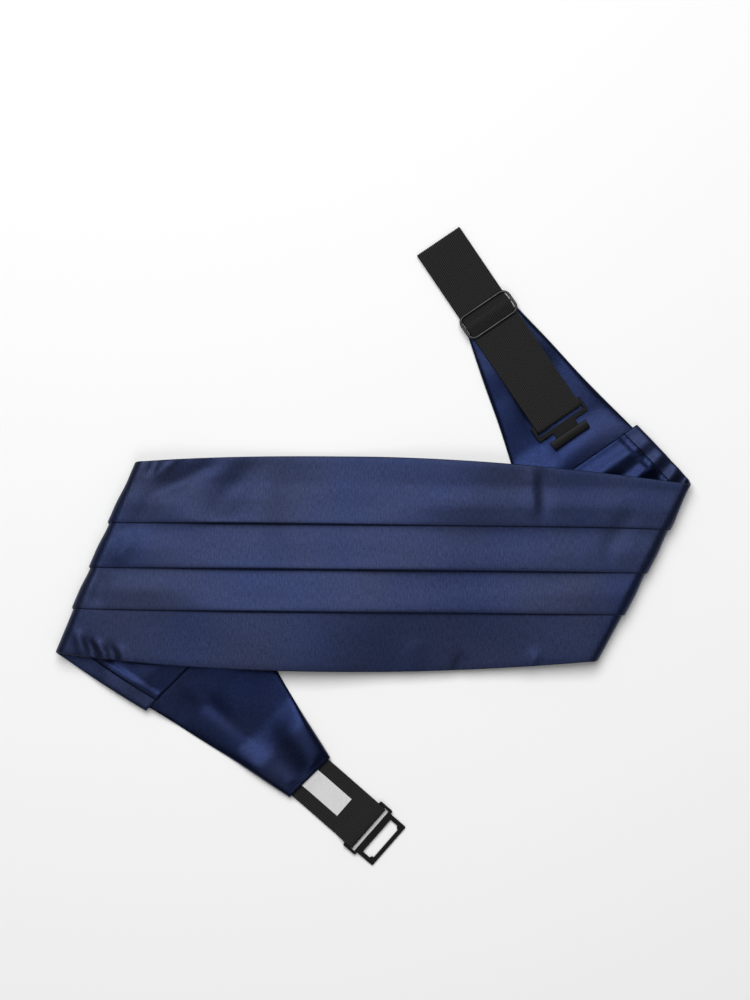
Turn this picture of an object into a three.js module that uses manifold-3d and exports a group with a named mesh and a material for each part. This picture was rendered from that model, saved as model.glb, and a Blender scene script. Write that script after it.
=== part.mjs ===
// A pleated cummerbund, unfastened and lying on a flat surface, satin side up,
// with both of its ends folded back under the front along slanting lines.
// Millimetres, +Z up. The origin is the middle of the underside of the part's box.

import * as THREE from "three";
import { mergeVertices } from "three/addons/utils/BufferGeometryUtils.js";
import Module from "manifold-3d";

const wasm = await Module();
wasm.setup();

// Cloth thicknesses and the gap between neighbours
const satinPly = 1;
const elasticPly = 1;
const labelPly = 0.5;
const clearance = 0.3;

// The pleated body, measured flat from its middle
const bodyHalfLength = 243;
const bodyHalfWidth = 63;
const seamHalfWidth = 41;
const hemWidth = 12;
const liningLap = 3;
const pleatUnderlap = 10;
const pleatRamp = 13;
const seamTuck = 8;
const seamLevel = 17;
const seamRise = 26;
const frontTurnDegrees = -0.6;

// Each pleat's folded edge as a share of the half width, upper pleat first,
// and how far the pleats draw together at the seams
const pleats = [{ edge: 0.365 }, { edge: -0.055 }, { edge: -0.448 }];
const pleatSeamShare = 1.15244;
const pleatGather = 1 - (pleatSeamShare * seamHalfWidth) / bodyHalfWidth;
const pleatGatherPower = 6;

// The ends: where the fold starts as a share of the half length, its lean from square,
// its bend radius at the lower and upper edge, and how the half width runs down to the seam
const ends = {
  left: {
    sign: -1,
    foldAt: 0.621,
    lean: 22.2,
    lowerRadius: 4.6,
    upperRadius: 3.6,
    taperPower: 2.6,
    wingLength: 95.5,
    wingSwing: -1.6,
    strapSwing: 4.4,
  },
  right: {
    sign: 1,
    foldAt: 0.665,
    lean: 27.9,
    lowerRadius: 4,
    upperRadius: 4.6,
    taperPower: 1.8,
    wingLength: 98,
    wingSwing: -3.5,
    strapSwing: 3,
  },
};
const bendSteps = 8;
const frontSteps = 14;
const endSteps = 5;
const frontRamp = 120;

// The wings, two plies sewn along both edges
const wingSeamHalfWidth = 38.6;
const wingTipHalfWidth = 17.2;
const wingPlyGap = 0.4;
const wingDrop = 24;
const wingRim = 1.3;
const wingSteps = 14;
const wingTipLevel = 8;
const wingTipRise = 20;
const wingTaperPower = 0.96;

// Elastic and its fittings
const elasticWidth = 30;
const elasticTuck = 15;
const labelLength = 27;
const labelWidth = 13;
const labelTuck = 3;
const barThickness = 1.6;
const slotWidth = 30.8;

const leftStrapLength = 40.6;
const rightTipToFold = 55.4;
const rightFoldToSlider = 51;
const rightFoldToHook = 120.4;
const hookRest = 3.4;
const hookDip = 1;
const sliderLoopTurn = -250;

const eye = {
  earWidth: 34,
  earLength: 9.3,
  firstBar: 4,
  slot: 3.6,
  middleBar: 4,
  frameWidth: 30,
  window: 7.2,
  sideBar: 2.65,
  outerBar: 2.5,
  boss: 1.7,
  corner: 1,
};
const hook = {
  earWidth: 34.4,
  firstBar: 3.6,
  slot: 3.3,
  outerBar: 2.6,
  neckWidth: 15.3,
  neckLength: 3.7,
  barWidth: 24.8,
  barLength: 4.9,
  lipPly: 1.3,
  mouth: 1.3,
  lipLength: 3.6,
  corner: 0.8,
};
const wireThickness = 1.6;
const sliderSideRoom = 0.8;
const slider = {
  width: elasticWidth + 2 * (wireThickness + sliderSideRoom),
  length: 16.2,
  wire: wireThickness,
  corner: 2,
};

// Layer heights, measured from a ply's reference face: the underside of the flat satin
const half = satinPly / 2;
const pitch = satinPly + clearance;
const pleatTop = 2 * pitch;
const bodyTop = pleatTop + satinPly;
const liningBottom = 2 * pitch;
const wingThickness = 2 * satinPly + wingPlyGap;
const seamLift = wingThickness + clearance;

const degrees = Math.PI / 180;
const radians = (angle) => angle * degrees;
const lerp = (a, b, share) => a + (b - a) * share;
const smooth = (share) => {
  const x = Math.min(Math.max(share, 0), 1);
  return x * x * (3 - 2 * x);
};
const direction = (angle) => new THREE.Vector2(Math.cos(angle), Math.sin(angle));

// Directions of the flat pattern as it lies: along the body, and across it toward the upper edge
const alongBody = direction(radians(frontTurnDegrees));
const acrossBody = direction(radians(frontTurnDegrees + 90));

const endOf = (along) => (along < 0 ? ends.left : ends.right);
const halfWidthAt = (along) => {
  const share = Math.min(Math.abs(along) / bodyHalfLength, 1);
  const drop = 1 - seamHalfWidth / bodyHalfWidth;
  return bodyHalfWidth * (1 - drop * share ** endOf(along).taperPower);
};
const gatherAt = (along) =>
  1 - pleatGather * Math.min(Math.abs(along) / bodyHalfLength, 1) ** pleatGatherPower;
const seamLiftAt = (along) =>
  seamLift * smooth((Math.abs(along) - (bodyHalfLength - seamLevel - seamRise)) / seamRise);

// A fold: its line on the surface, and the flat cloth's distances beyond it and along it
function foldOf(end) {
  const lean = radians(end.lean);
  const along = new THREE.Vector2(Math.sin(lean), Math.cos(lean));
  const out = new THREE.Vector2(Math.cos(lean), -Math.sin(lean)).multiplyScalar(end.sign);
  const start = end.sign * end.foldAt * bodyHalfLength;
  const middle = alongBody.clone().multiplyScalar(start);
  const middleRadius = (end.lowerRadius + end.upperRadius) / 2;
  const radiusRise = (end.upperRadius - end.lowerRadius) / (2 * bodyHalfWidth);
  return { end, along, out, start, middle, middleRadius, radiusRise };
}
const folds = { left: foldOf(ends.left), right: foldOf(ends.right) };
const radiusAt = (fold, q) => fold.middleRadius + fold.radiusRise * q;
const topHeightAt = (fold, q) => bodyTop + 2 * radiusAt(fold, q);

const flatPlace = (along, across) =>
  alongBody.clone().multiplyScalar(along).addScaledVector(acrossBody, across);

function beyond(fold, along, across) {
  const place = flatPlace(along, across).sub(fold.middle);
  return { q: place.dot(fold.along), distance: place.dot(fold.out) };
}

// Where the cloth lies once it has passed the fold and runs back underneath
function turnedPlace(fold, along, across) {
  const { q, distance } = beyond(fold, along, across);
  const past = distance - Math.PI * radiusAt(fold, q);
  return fold.middle.clone().addScaledVector(fold.along, q).addScaledVector(fold.out, -past);
}

// How high the front is carried near a fold: full height over the end that lies beneath it,
// whose free edge is the line from the fold's corner to the seam's corner
function carriedEdge(fold) {
  const lead = -fold.end.sign;
  const near = fold.middle.clone().addScaledVector(fold.along, lead * bodyHalfWidth);
  const far = turnedPlace(fold, fold.end.sign * bodyHalfLength, lead * seamHalfWidth);
  const line = far.clone().sub(near).normalize();
  const free = new THREE.Vector2(-line.y, line.x);
  if (free.dot(fold.out) > 0) {
    free.negate();
  }
  return { fold, near, free };
}
const carriedEdges = [carriedEdge(folds.left), carriedEdge(folds.right)];

function frontHeight(place) {
  let height = liningBottom;
  for (const { fold, near, free } of carriedEdges) {
    const q = place.clone().sub(fold.middle).dot(fold.along);
    const away = place.clone().sub(near).dot(free);
    height += (topHeightAt(fold, q) - liningBottom) * (1 - smooth(away / frontRamp));
  }
  return height;
}

// Stations are straight lines over the flat pattern, along = base + slope * across.
// Those in a bend keep one turning angle from edge to edge.
function bendStation(fold, turn) {
  const rise = turn * fold.radiusRise;
  const scale = alongBody.dot(fold.out) - rise * alongBody.dot(fold.along);
  const slant = rise * acrossBody.dot(fold.along) - acrossBody.dot(fold.out);
  return { base: fold.start + (turn * fold.middleRadius) / scale, slope: slant / scale };
}

const alongOf = (station, across) => station.base + station.slope * across;

function between(first, last, steps) {
  const stations = [];
  for (let i = 1; i < steps; i++) {
    stations.push({
      base: lerp(first.base, last.base, i / steps),
      slope: lerp(first.slope, last.slope, i / steps),
    });
  }
  return stations;
}

function bend(fold) {
  const stations = [];
  for (let i = 0; i <= bendSteps; i++) {
    const turn = (Math.PI * i) / bendSteps;
    stations.push({ ...bendStation(fold, turn), fold, turn });
  }
  return stations;
}

function bodyStations() {
  const leftSeam = { base: -bodyHalfLength, slope: 0 };
  const rightSeam = { base: bodyHalfLength, slope: 0 };
  const leftBend = bend(folds.left).reverse();
  const rightBend = bend(folds.right);
  const leftEnd = [leftSeam, ...between(leftSeam, leftBend[0], endSteps)];
  const front = between(leftBend[bendSteps], rightBend[0], frontSteps);
  const rightEnd = [...between(rightBend[bendSteps], rightSeam, endSteps), rightSeam];
  for (const station of leftEnd) {
    station.fold = folds.left;
    station.turn = Math.PI;
  }
  for (const station of rightEnd) {
    station.fold = folds.right;
    station.turn = Math.PI;
  }
  for (const station of front) {
    const upper = flatPlace(alongOf(station, bodyHalfWidth), bodyHalfWidth);
    const lower = flatPlace(alongOf(station, -bodyHalfWidth), -bodyHalfWidth);
    station.upperHeight = frontHeight(upper);
    station.lowerHeight = frontHeight(lower);
  }
  return [...leftEnd, ...leftBend, ...front, ...rightBend, ...rightEnd];
}

// A point of the body's section, across the width and above the reference face, as it lies
function layPoint(station, [across, above]) {
  const along = alongOf(station, across);
  if (!station.fold) {
    const share = (across / bodyHalfWidth + 1) / 2;
    const place = flatPlace(along, across);
    const height = lerp(station.lowerHeight, station.upperHeight, share);
    return new THREE.Vector3(place.x, place.y, height + above);
  }
  const { fold, turn } = station;
  const { q, distance } = beyond(fold, along, across);
  const radius = radiusAt(fold, q);
  const reach = radius + above;
  const past = Math.max(distance - turn * radius, 0);
  const inward = turn === Math.PI ? past : 0;
  const place = fold.middle.clone().addScaledVector(fold.along, q);
  place.addScaledVector(fold.out, reach * Math.sin(turn) - inward);
  return new THREE.Vector3(place.x, place.y, bodyTop + radius + reach * Math.cos(turn));
}

// The section of one ply, as a closed outline of its two faces. Its stops are points of its
// middle line, and turns: where it doubles back at a folded edge, from one height to another.
const roundTurn = [0, 60, 120, 180];
const sharpTurn = [0, 180];

function plyOutline(stops) {
  const satin = [];
  const reverse = [];
  let facing = stops[0].facing;
  for (const stop of stops) {
    if (stop.edge === undefined) {
      satin.push([stop.across, stop.above + facing * half]);
      reverse.push([stop.across, stop.above - facing * half]);
      continue;
    }
    const middle = (stop.from + stop.to) / 2;
    const spread = Math.abs(stop.from - stop.to) / 2;
    const start = Math.sign(stop.from - middle);
    const centre = stop.edge - stop.toward * (spread + half);
    const arc = (reach, angles) =>
      angles.map((angle) => [
        centre + stop.toward * reach * Math.sin(radians(angle)),
        middle + start * reach * Math.cos(radians(angle)),
      ]);
    const outer = arc(spread + half, roundTurn);
    const inner = arc(spread - half, sharpTurn);
    const satinOutside = start === facing;
    satin.push(...(satinOutside ? outer : inner));
    reverse.push(...(satinOutside ? inner : outer));
    facing = -facing;
  }
  return [...satin, ...reverse.reverse()];
}

// The satin: hem, upper edge, three pleats doubled under the strip above, lower edge, hem
function shellStops(along) {
  const edge = halfWidthAt(along);
  const lift = seamLiftAt(along);
  const hemAbove = -pitch + half - lift;
  const gather = gatherAt(along);
  const stops = [
    { across: edge - hemWidth, above: hemAbove, facing: -1 },
    { edge, toward: 1, from: hemAbove, to: half },
  ];
  for (const pleat of pleats) {
    const pleatEdge = pleat.edge * bodyHalfWidth * gather;
    const inner = pleatEdge + pleatUnderlap;
    const level = pleatTop + half;
    const ramp = pleatRamp * gather;
    stops.push({ across: inner + ramp, above: half });
    stops.push({ across: inner + satinPly, above: level });
    stops.push({ edge: pleatEdge, toward: -1, from: level, to: level - pitch });
    stops.push({ edge: inner, toward: 1, from: level - pitch, to: half });
  }
  stops.push({ across: -edge + hemWidth, above: half });
  stops.push({ edge: -edge, toward: -1, from: half, to: hemAbove });
  stops.push({ across: -edge + hemWidth, above: hemAbove });
  return stops;
}

// The lining: flat behind the pleats, stepping up over each hem's raw edge
function liningStops(along) {
  const edge = halfWidthAt(along);
  const flat = -pitch + half - seamLiftAt(along);
  const lapped = flat - pitch;
  const hemEdge = edge - hemWidth;
  const step = clearance + satinPly;
  return [
    { across: hemEdge + liningLap, above: lapped, facing: 1 },
    { across: hemEdge - clearance, above: lapped },
    { across: hemEdge - clearance - step, above: flat },
    { across: hemEdge / 3, above: flat },
    { across: -hemEdge / 3, above: flat },
    { across: -hemEdge + clearance + step, above: flat },
    { across: -hemEdge + clearance, above: lapped },
    { across: -hemEdge - liningLap, above: lapped },
  ];
}

// The stops at a station: each one's place across depends on where along it falls
function stopsAt(station, makeStops) {
  let stops = makeStops(station.base);
  for (let round = 0; round < 3; round++) {
    stops = stops.map((stop, i) => {
      const across = stop.edge === undefined ? stop.across : stop.edge;
      return makeStops(alongOf(station, across))[i];
    });
  }
  return stops;
}

// A closed mesh from triangles, turned inside out if they face inwards
function closedMesh(points, triangles) {
  const position = new Float32Array(points.flatMap((p) => [p.x, p.y, p.z]));
  let volume = 0;
  for (const [a, b, c] of triangles) {
    volume += points[a].dot(new THREE.Vector3().crossVectors(points[b], points[c]));
  }
  const faces = volume < 0 ? triangles.map(([a, b, c]) => [a, c, b]) : triangles;
  const geometry = new THREE.BufferGeometry();
  geometry.setAttribute("position", new THREE.BufferAttribute(position, 3));
  geometry.setIndex(faces.flat());
  return geometry;
}

// A skin over rings of equal length, each ring joined to the next
function skin(rings, points, triangles) {
  const count = rings[0].length;
  const first = points.length;
  points.push(...rings.flat());
  for (let i = 0; i + 1 < rings.length; i++) {
    for (let j = 0; j < count; j++) {
      const a = first + i * count + j;
      const b = first + i * count + ((j + 1) % count);
      triangles.push([a, b, b + count], [a, b + count, a + count]);
    }
  }
  return first;
}

function bodyPly(makeStops) {
  const stations = bodyStations();
  const outlines = stations.map((station) => plyOutline(stopsAt(station, makeStops)));
  const rings = stations.map((station, i) => outlines[i].map((p) => layPoint(station, p)));
  const points = [];
  const triangles = [];
  skin(rings, points, triangles);
  const cap = (outline, first, flip) => {
    const contour = outline.map(([x, y]) => new THREE.Vector2(x, y));
    for (const [a, b, c] of THREE.ShapeUtils.triangulateShape(contour, [])) {
      triangles.push(flip ? [first + a, first + c, first + b] : [first + a, first + b, first + c]);
    }
  };
  const last = (rings.length - 1) * rings[0].length;
  const turnsLeft = THREE.ShapeUtils.isClockWise(
    outlines[0].map(([x, y]) => new THREE.Vector2(x, y)),
  );
  cap(outlines[0], 0, !turnsLeft);
  cap(outlines[outlines.length - 1], last, turnsLeft);
  return closedMesh(points, triangles);
}

// The wings. Each leaves its seam, drops to the surface and narrows to its tip.
function wingFrame(fold) {
  const { end } = fold;
  const seam = turnedPlace(fold, end.sign * bodyHalfLength, 0);
  const beforeSeam = turnedPlace(fold, end.sign * (bodyHalfLength - 1), 0);
  const heading = seam.clone().sub(beforeSeam).angle() + radians(end.wingSwing);
  const tip = seam.clone().addScaledVector(direction(heading), end.wingLength);
  return { seam, heading, tip, length: end.wingLength };
}

function wing(fold, tipRoom) {
  const frame = wingFrame(fold);
  const forward = direction(frame.heading);
  const sideways = direction(frame.heading + Math.PI / 2);
  const seamMiddle = bodyTop + clearance + wingThickness / 2;
  const outer = [];
  const inner = [];
  for (let i = 0; i <= wingSteps; i++) {
    const from = lerp(-seamTuck, frame.length, i / wingSteps);
    const share = Math.max(from, 0) / frame.length;
    const level = frame.length - elasticTuck - wingTipLevel;
    const room = lerp(wingPlyGap, tipRoom, smooth((from - level + wingTipRise) / wingTipRise));
    const thick = room + 2 * satinPly;
    const width = lerp(wingSeamHalfWidth, wingTipHalfWidth, share ** wingTaperPower);
    const height = lerp(seamMiddle, thick / 2, smooth(from / wingDrop));
    const place = frame.seam.clone().addScaledVector(forward, from);
    const ring = (edge, rim, tall) =>
      [
        [-edge, 0],
        [-edge + rim, -tall],
        [edge - rim, -tall],
        [edge, 0],
        [edge - rim, tall],
        [-edge + rim, tall],
      ].map(([across, above]) => {
        const point = place.clone().addScaledVector(sideways, across);
        return new THREE.Vector3(point.x, point.y, height + above);
      });
    outer.push(ring(width, wingRim, thick / 2));
    inner.push(ring(width - wingRim, wingRim / 2, room / 2));
  }
  const points = [];
  const triangles = [];
  const outerFirst = skin(outer, points, triangles);
  const inside = [];
  const innerFirst = skin(inner, points, inside);
  triangles.push(...inside.map(([a, b, c]) => [a, c, b]));
  const count = outer[0].length;
  const end = (rings, flip) => {
    for (let j = 0; j < count; j++) {
      const k = (j + 1) % count;
      const a = outerFirst + rings * count + j;
      const b = outerFirst + rings * count + k;
      const c = innerFirst + rings * count + k;
      const d = innerFirst + rings * count + j;
      triangles.push(...(flip ? [[a, c, b], [a, d, c]] : [[a, b, c], [a, c, d]]));
    }
  };
  end(0, true);
  end(wingSteps, false);
  return closedMesh(points, triangles);
}

// A strap's route seen from its side, as a taut line round pulleys: [distance, height, radius],
// where a radius above zero turns left and one below zero turns right.
const leftNormal = (heading) => new THREE.Vector2(-Math.sin(heading), Math.cos(heading));
const arcStep = 24;

function route(pulleys, lastTurn) {
  const headings = [];
  for (let i = 0; i + 1 < pulleys.length; i++) {
    const [x, y, radius] = pulleys[i];
    const [nextX, nextY, nextRadius] = pulleys[i + 1];
    const reach = Math.hypot(nextX - x, nextY - y);
    headings.push(Math.atan2(nextY - y, nextX - x) - Math.asin((nextRadius - radius) / reach));
  }
  const points = [];
  pulleys.forEach(([x, y, radius], i) => {
    const enter = headings[Math.max(i - 1, 0)];
    const last = i === pulleys.length - 1;
    let turn = i === 0 ? 0 : headings[Math.min(i, headings.length - 1)] - enter;
    if (last && lastTurn) {
      turn = radians(lastTurn);
    } else if (radius > 0) {
      turn = (turn + 4 * Math.PI) % (2 * Math.PI);
    } else if (radius < 0) {
      turn = (turn - 4 * Math.PI) % (2 * Math.PI);
    }
    const steps = radius === 0 || turn === 0 ? 0 : Math.ceil(Math.abs(turn) / radians(arcStep));
    for (let j = 0; j <= steps; j++) {
      const heading = steps ? enter + (turn * j) / steps : enter;
      points.push(new THREE.Vector2(x, y).addScaledVector(leftNormal(heading), -radius));
    }
  });
  return points;
}

// A strap of even thickness along a route, extruded across its width
function strapGeometry(points, thickness, width) {
  const sides = [[], []];
  points.forEach((point, i) => {
    const before = points[Math.max(i - 1, 0)];
    const after = points[Math.min(i + 1, points.length - 1)];
    const into = point.clone().sub(i ? before : point);
    const away = after.clone().sub(point);
    const first = (into.lengthSq() ? into : away).normalize();
    const second = (away.lengthSq() ? away : into).clone().normalize();
    const middle = first.clone().add(second).normalize();
    const reach = thickness / 2 / Math.max(middle.dot(second), 0.5);
    const normal = new THREE.Vector2(-middle.y, middle.x);
    sides[0].push(point.clone().addScaledVector(normal, reach));
    sides[1].push(point.clone().addScaledVector(normal, -reach));
  });
  const shape = new THREE.Shape([...sides[0], ...sides[1].reverse()]);
  const geometry = new THREE.ExtrudeGeometry(shape, { depth: width, bevelEnabled: false });
  geometry.translate(0, 0, -width / 2);
  geometry.rotateX(Math.PI / 2);
  return geometry;
}

// Flat fittings are cut from a plate, drawn with x along the strap and y across it
function rectangle(path, x0, x1, width) {
  path.moveTo(x0, -width / 2);
  path.lineTo(x1, -width / 2);
  path.lineTo(x1, width / 2);
  path.lineTo(x0, width / 2);
  path.closePath();
  return path;
}

function roundedBox(path, x0, x1, width, radius) {
  const y = width / 2;
  path.moveTo(x0 + radius, -y);
  path.lineTo(x1 - radius, -y);
  path.quadraticCurveTo(x1, -y, x1, -y + radius);
  path.lineTo(x1, y - radius);
  path.quadraticCurveTo(x1, y, x1 - radius, y);
  path.lineTo(x0 + radius, y);
  path.quadraticCurveTo(x0, y, x0, y - radius);
  path.lineTo(x0, -y + radius);
  path.quadraticCurveTo(x0, -y, x0 + radius, -y);
  return path;
}

const plateCurve = 4;

function plate(shape, thickness) {
  const settings = { depth: thickness, bevelEnabled: false, curveSegments: plateCurve };
  return new THREE.ExtrudeGeometry(shape, settings).translate(0, 0, -thickness / 2);
}

function solidOf(geometry) {
  const bare = geometry.clone();
  bare.deleteAttribute("normal");
  bare.deleteAttribute("uv");
  const merged = mergeVertices(bare, 1e-4);
  const vertProperties = merged.attributes.position.array;
  const triVerts = new Uint32Array(merged.index.array);
  return new wasm.Manifold(new wasm.Mesh({ numProp: 3, vertProperties, triVerts }));
}

function geometryOf(solid) {
  const { vertProperties, triVerts } = solid.getMesh();
  const geometry = new THREE.BufferGeometry();
  geometry.setAttribute("position", new THREE.BufferAttribute(vertProperties, 3));
  geometry.setIndex(new THREE.BufferAttribute(triVerts, 1));
  return geometry;
}

const fuse = (...geometries) =>
  geometryOf(geometries.map(solidOf).reduce((whole, piece) => whole.add(piece)));

// The eye: ears with a slot for the elastic, and a frame whose window takes the hook.
// x = 0 is the middle of its first bar.
function eyeGeometry() {
  const earStart = -eye.firstBar / 2;
  const slotEnd = -earStart + eye.slot;
  const windowStart = slotEnd + eye.middleBar;
  const windowEnd = windowStart + eye.window;
  const frameEnd = windowEnd + eye.outerBar;
  const ears = roundedBox(new THREE.Shape(), earStart, earStart + eye.earLength, eye.earWidth, eye.corner);
  ears.holes.push(rectangle(new THREE.Path(), -earStart, slotEnd, slotWidth));
  const frame = roundedBox(new THREE.Shape(), slotEnd + eye.corner, frameEnd, eye.frameWidth, eye.corner);
  const side = eye.frameWidth / 2 - eye.sideBar;
  const cut = windowEnd - eye.boss;
  const window = new THREE.Path();
  window.moveTo(windowStart, -side);
  window.lineTo(cut, -side);
  window.quadraticCurveTo(cut, -side + eye.boss, windowEnd, -side + eye.boss);
  window.lineTo(windowEnd, side - eye.boss);
  window.quadraticCurveTo(cut, side - eye.boss, cut, side);
  window.lineTo(windowStart, side);
  window.closePath();
  frame.holes.push(window);
  return { geometry: fuse(plate(ears, barThickness), plate(frame, barThickness)), end: frameEnd };
}

// The hook: the same ears, a neck, and a crossbar turned up and back over itself into a lip
function hookGeometry() {
  const earStart = -hook.firstBar / 2;
  const slotEnd = -earStart + hook.slot;
  const earEnd = slotEnd + hook.outerBar;
  const neckEnd = earEnd + hook.neckLength;
  const barEnd = neckEnd + hook.barLength;
  const ears = roundedBox(new THREE.Shape(), earStart, earEnd, hook.earWidth, hook.corner);
  ears.holes.push(rectangle(new THREE.Path(), -earStart, slotEnd, slotWidth));
  const neckStart = earEnd - hook.outerBar / 2;
  const neck = rectangle(new THREE.Shape(), neckStart, neckEnd + hook.corner, hook.neckWidth);
  const low = -barThickness / 2;
  const mouthFloor = low + hook.lipPly;
  const mouthTop = mouthFloor + hook.mouth;
  const top = mouthTop + hook.lipPly;
  const wall = barEnd - hook.lipPly;
  const profile = new THREE.Shape();
  profile.moveTo(neckEnd, low);
  profile.lineTo(barEnd - hook.corner, low);
  profile.quadraticCurveTo(barEnd, low, barEnd, low + hook.corner);
  profile.lineTo(barEnd, top - hook.corner);
  profile.quadraticCurveTo(barEnd, top, barEnd - hook.corner, top);
  profile.lineTo(wall - hook.lipLength, top);
  profile.lineTo(wall - hook.lipLength, mouthTop);
  profile.lineTo(wall, mouthTop);
  profile.lineTo(wall, mouthFloor);
  profile.lineTo(neckEnd, mouthFloor);
  profile.closePath();
  const settings = { depth: hook.barWidth, bevelEnabled: false, curveSegments: plateCurve };
  const crossbar = new THREE.ExtrudeGeometry(profile, settings);
  crossbar.translate(0, 0, -hook.barWidth / 2).rotateX(Math.PI / 2);
  return { geometry: fuse(plate(ears, barThickness), plate(neck, barThickness), crossbar), end: barEnd };
}

// The slider: one closed wire with a middle bar across it
const wireSides = 8;
const wireCornerSteps = 4;

function sliderGeometry() {
  const radius = slider.wire / 2;
  const x = slider.length / 2 - radius - slider.corner;
  const y = slider.width / 2 - radius - slider.corner;
  const corners = [[x, y], [-x, y], [-x, -y], [x, -y]];
  const rings = [];
  corners.forEach(([cornerX, cornerY], i) => {
    for (let j = 0; j <= wireCornerSteps; j++) {
      const angle = (i + j / wireCornerSteps) * (Math.PI / 2);
      const out = direction(angle);
      const centre = new THREE.Vector2(cornerX, cornerY).addScaledVector(out, slider.corner);
      const ring = [];
      for (let k = 0; k < wireSides; k++) {
        const round = (k + 0.5) * ((2 * Math.PI) / wireSides);
        const place = centre.clone().addScaledVector(out, radius * Math.cos(round));
        ring.push(new THREE.Vector3(place.x, place.y, radius * Math.sin(round)));
      }
      rings.push(ring);
    }
  });
  const points = [];
  const triangles = [];
  skin([...rings, rings[0]], points, triangles);
  const barLength = slider.width - slider.wire;
  const bar = new THREE.CylinderGeometry(radius, radius, barLength, wireSides);
  return fuse(mergeVertices(closedMesh(points, triangles), 1e-4), bar);
}

// Heights where the straps pass
const elasticPitch = elasticPly + clearance;
const floorLevel = elasticPly / 2;
const wrapCorner = Math.hypot(barThickness / 2, barThickness / 2);
const wrapRadius = wrapCorner + clearance + elasticPly / 2;
const wireWrap = slider.wire / 2 + clearance + elasticPly / 2;
const leftTipRoom = 2 * elasticPitch + labelPly + 2 * clearance;
const rightTipRoom = elasticPly + 2 * clearance;

// The left strap, from inside the left wing's tip, round the eye's first bar and back
const pocketFloor = satinPly + clearance + elasticPly / 2;
const pocketSlope = 7;
const wrapSlope = 9;

function leftStrap() {
  const barAt = leftStrapLength + eye.firstBar / 2;
  const barHeight = floorLevel + wrapRadius;
  const barReach = eye.firstBar / 2 - barThickness / 2;
  const points = route([
    [-elasticTuck, pocketFloor, 0],
    [-clearance, pocketFloor, 0],
    [pocketSlope, floorLevel, 0],
    [barAt + barReach, barHeight, wrapRadius],
    [barAt - barReach, barHeight, wrapRadius],
    [barAt - wrapSlope, floorLevel + elasticPitch, 0],
    [pocketSlope, floorLevel + elasticPitch, 0],
    [-clearance, pocketFloor + elasticPitch, 0],
    [-elasticTuck, pocketFloor + elasticPitch, 0],
  ]);
  const rise = elasticPitch + elasticPly / 2 + clearance + labelPly / 2;
  const label = [
    new THREE.Vector2(-labelTuck, pocketFloor + rise),
    new THREE.Vector2(-clearance, pocketFloor + rise),
    new THREE.Vector2(pocketSlope, floorLevel + rise),
    new THREE.Vector2(labelLength, floorLevel + rise),
  ];
  return { points, label, barAt, barHeight };
}

// The right strap, measured from its far fold: out of the wing's tip along the surface, folded
// back, through the slider, round the hook's first bar, and back beneath to the slider's bar
const farFoldRadius = 1.3;
const sliderSpread = slider.length / 2 - slider.wire / 2;
const overTip = 2 * satinPly + rightTipRoom + clearance + elasticPly / 2;
const hookBarHeight = hookRest + wrapRadius;
const tipCrest = 12;

function rightStrap() {
  const tipAt = rightTipToFold;
  const barHeight = overTip + wireWrap;
  const runHeight = overTip + elasticPitch;
  const slope = (runHeight + wireWrap - barHeight) / sliderSpread;
  const nearWire = [rightFoldToSlider - sliderSpread, barHeight - slope * sliderSpread];
  const farWire = [rightFoldToSlider + sliderSpread, barHeight + slope * sliderSpread];
  const overBar = wireWrap + elasticPitch;
  const hookBar = rightFoldToHook + hook.firstBar / 2;
  const points = route(
    [
      [tipAt + elasticTuck, pocketFloor, 0],
      [tipAt + clearance, pocketFloor, 0],
      [tipAt - pocketSlope, floorLevel, 0],
      [farFoldRadius + floorLevel, floorLevel + farFoldRadius, -farFoldRadius],
      [...nearWire, wireWrap],
      [rightFoldToSlider, barHeight, -overBar],
      [...farWire, wireWrap],
      [hookBar + hook.firstBar / 2 - barThickness / 2, hookBarHeight, -wrapRadius],
      [tipAt + elasticTuck + tipCrest, overTip - tipCrest, tipCrest],
      [rightFoldToSlider, barHeight, -wireWrap],
    ],
    sliderLoopTurn,
  );
  return { points, barHeight, slope, hookBar };
}

// Assembly
function material(name, color, roughness, metalness) {
  return new THREE.MeshStandardMaterial({ name, color, roughness, metalness });
}
const navySatin = material("navy_satin", 0x2d375f, 0.45, 0);
const navyLining = material("navy_lining", 0x1a2550, 0.4, 0);
const blackElastic = material("black_elastic", 0x262626, 0.85, 0);
const blackFitting = material("black_fitting", 0x141414, 0.4, 0);
const darkWire = material("dark_wire", 0x3a3a3d, 0.3, 1);
const paleWeave = material("pale_weave", 0xd7d7d7, 0.8, 0);

function mesh(name, geometry, finish) {
  const piece = new THREE.Mesh(geometry, finish);
  piece.name = name;
  return piece;
}

// A group whose x axis runs along a strap from a point on the surface
function strapGroup(origin, heading) {
  const holder = new THREE.Group();
  holder.position.set(origin.x, origin.y, 0);
  holder.rotation.z = heading;
  return holder;
}

const leftFrame = wingFrame(folds.left);
const leftHeading = leftFrame.heading + radians(ends.left.strapSwing);
const left = leftStrap();
const leftGroup = strapGroup(leftFrame.tip, leftHeading);
leftGroup.add(mesh("left_elastic", strapGeometry(left.points, elasticPly, elasticWidth), blackElastic));
leftGroup.add(mesh("label", strapGeometry(left.label, labelPly, labelWidth), paleWeave));
const eyePlate = eyeGeometry();
const eyeMesh = mesh("eye", eyePlate.geometry, blackFitting);
eyeMesh.position.set(left.barAt, 0, left.barHeight);
eyeMesh.rotation.y = Math.asin((left.barHeight - barThickness / 2) / eyePlate.end);
leftGroup.add(eyeMesh);

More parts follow.
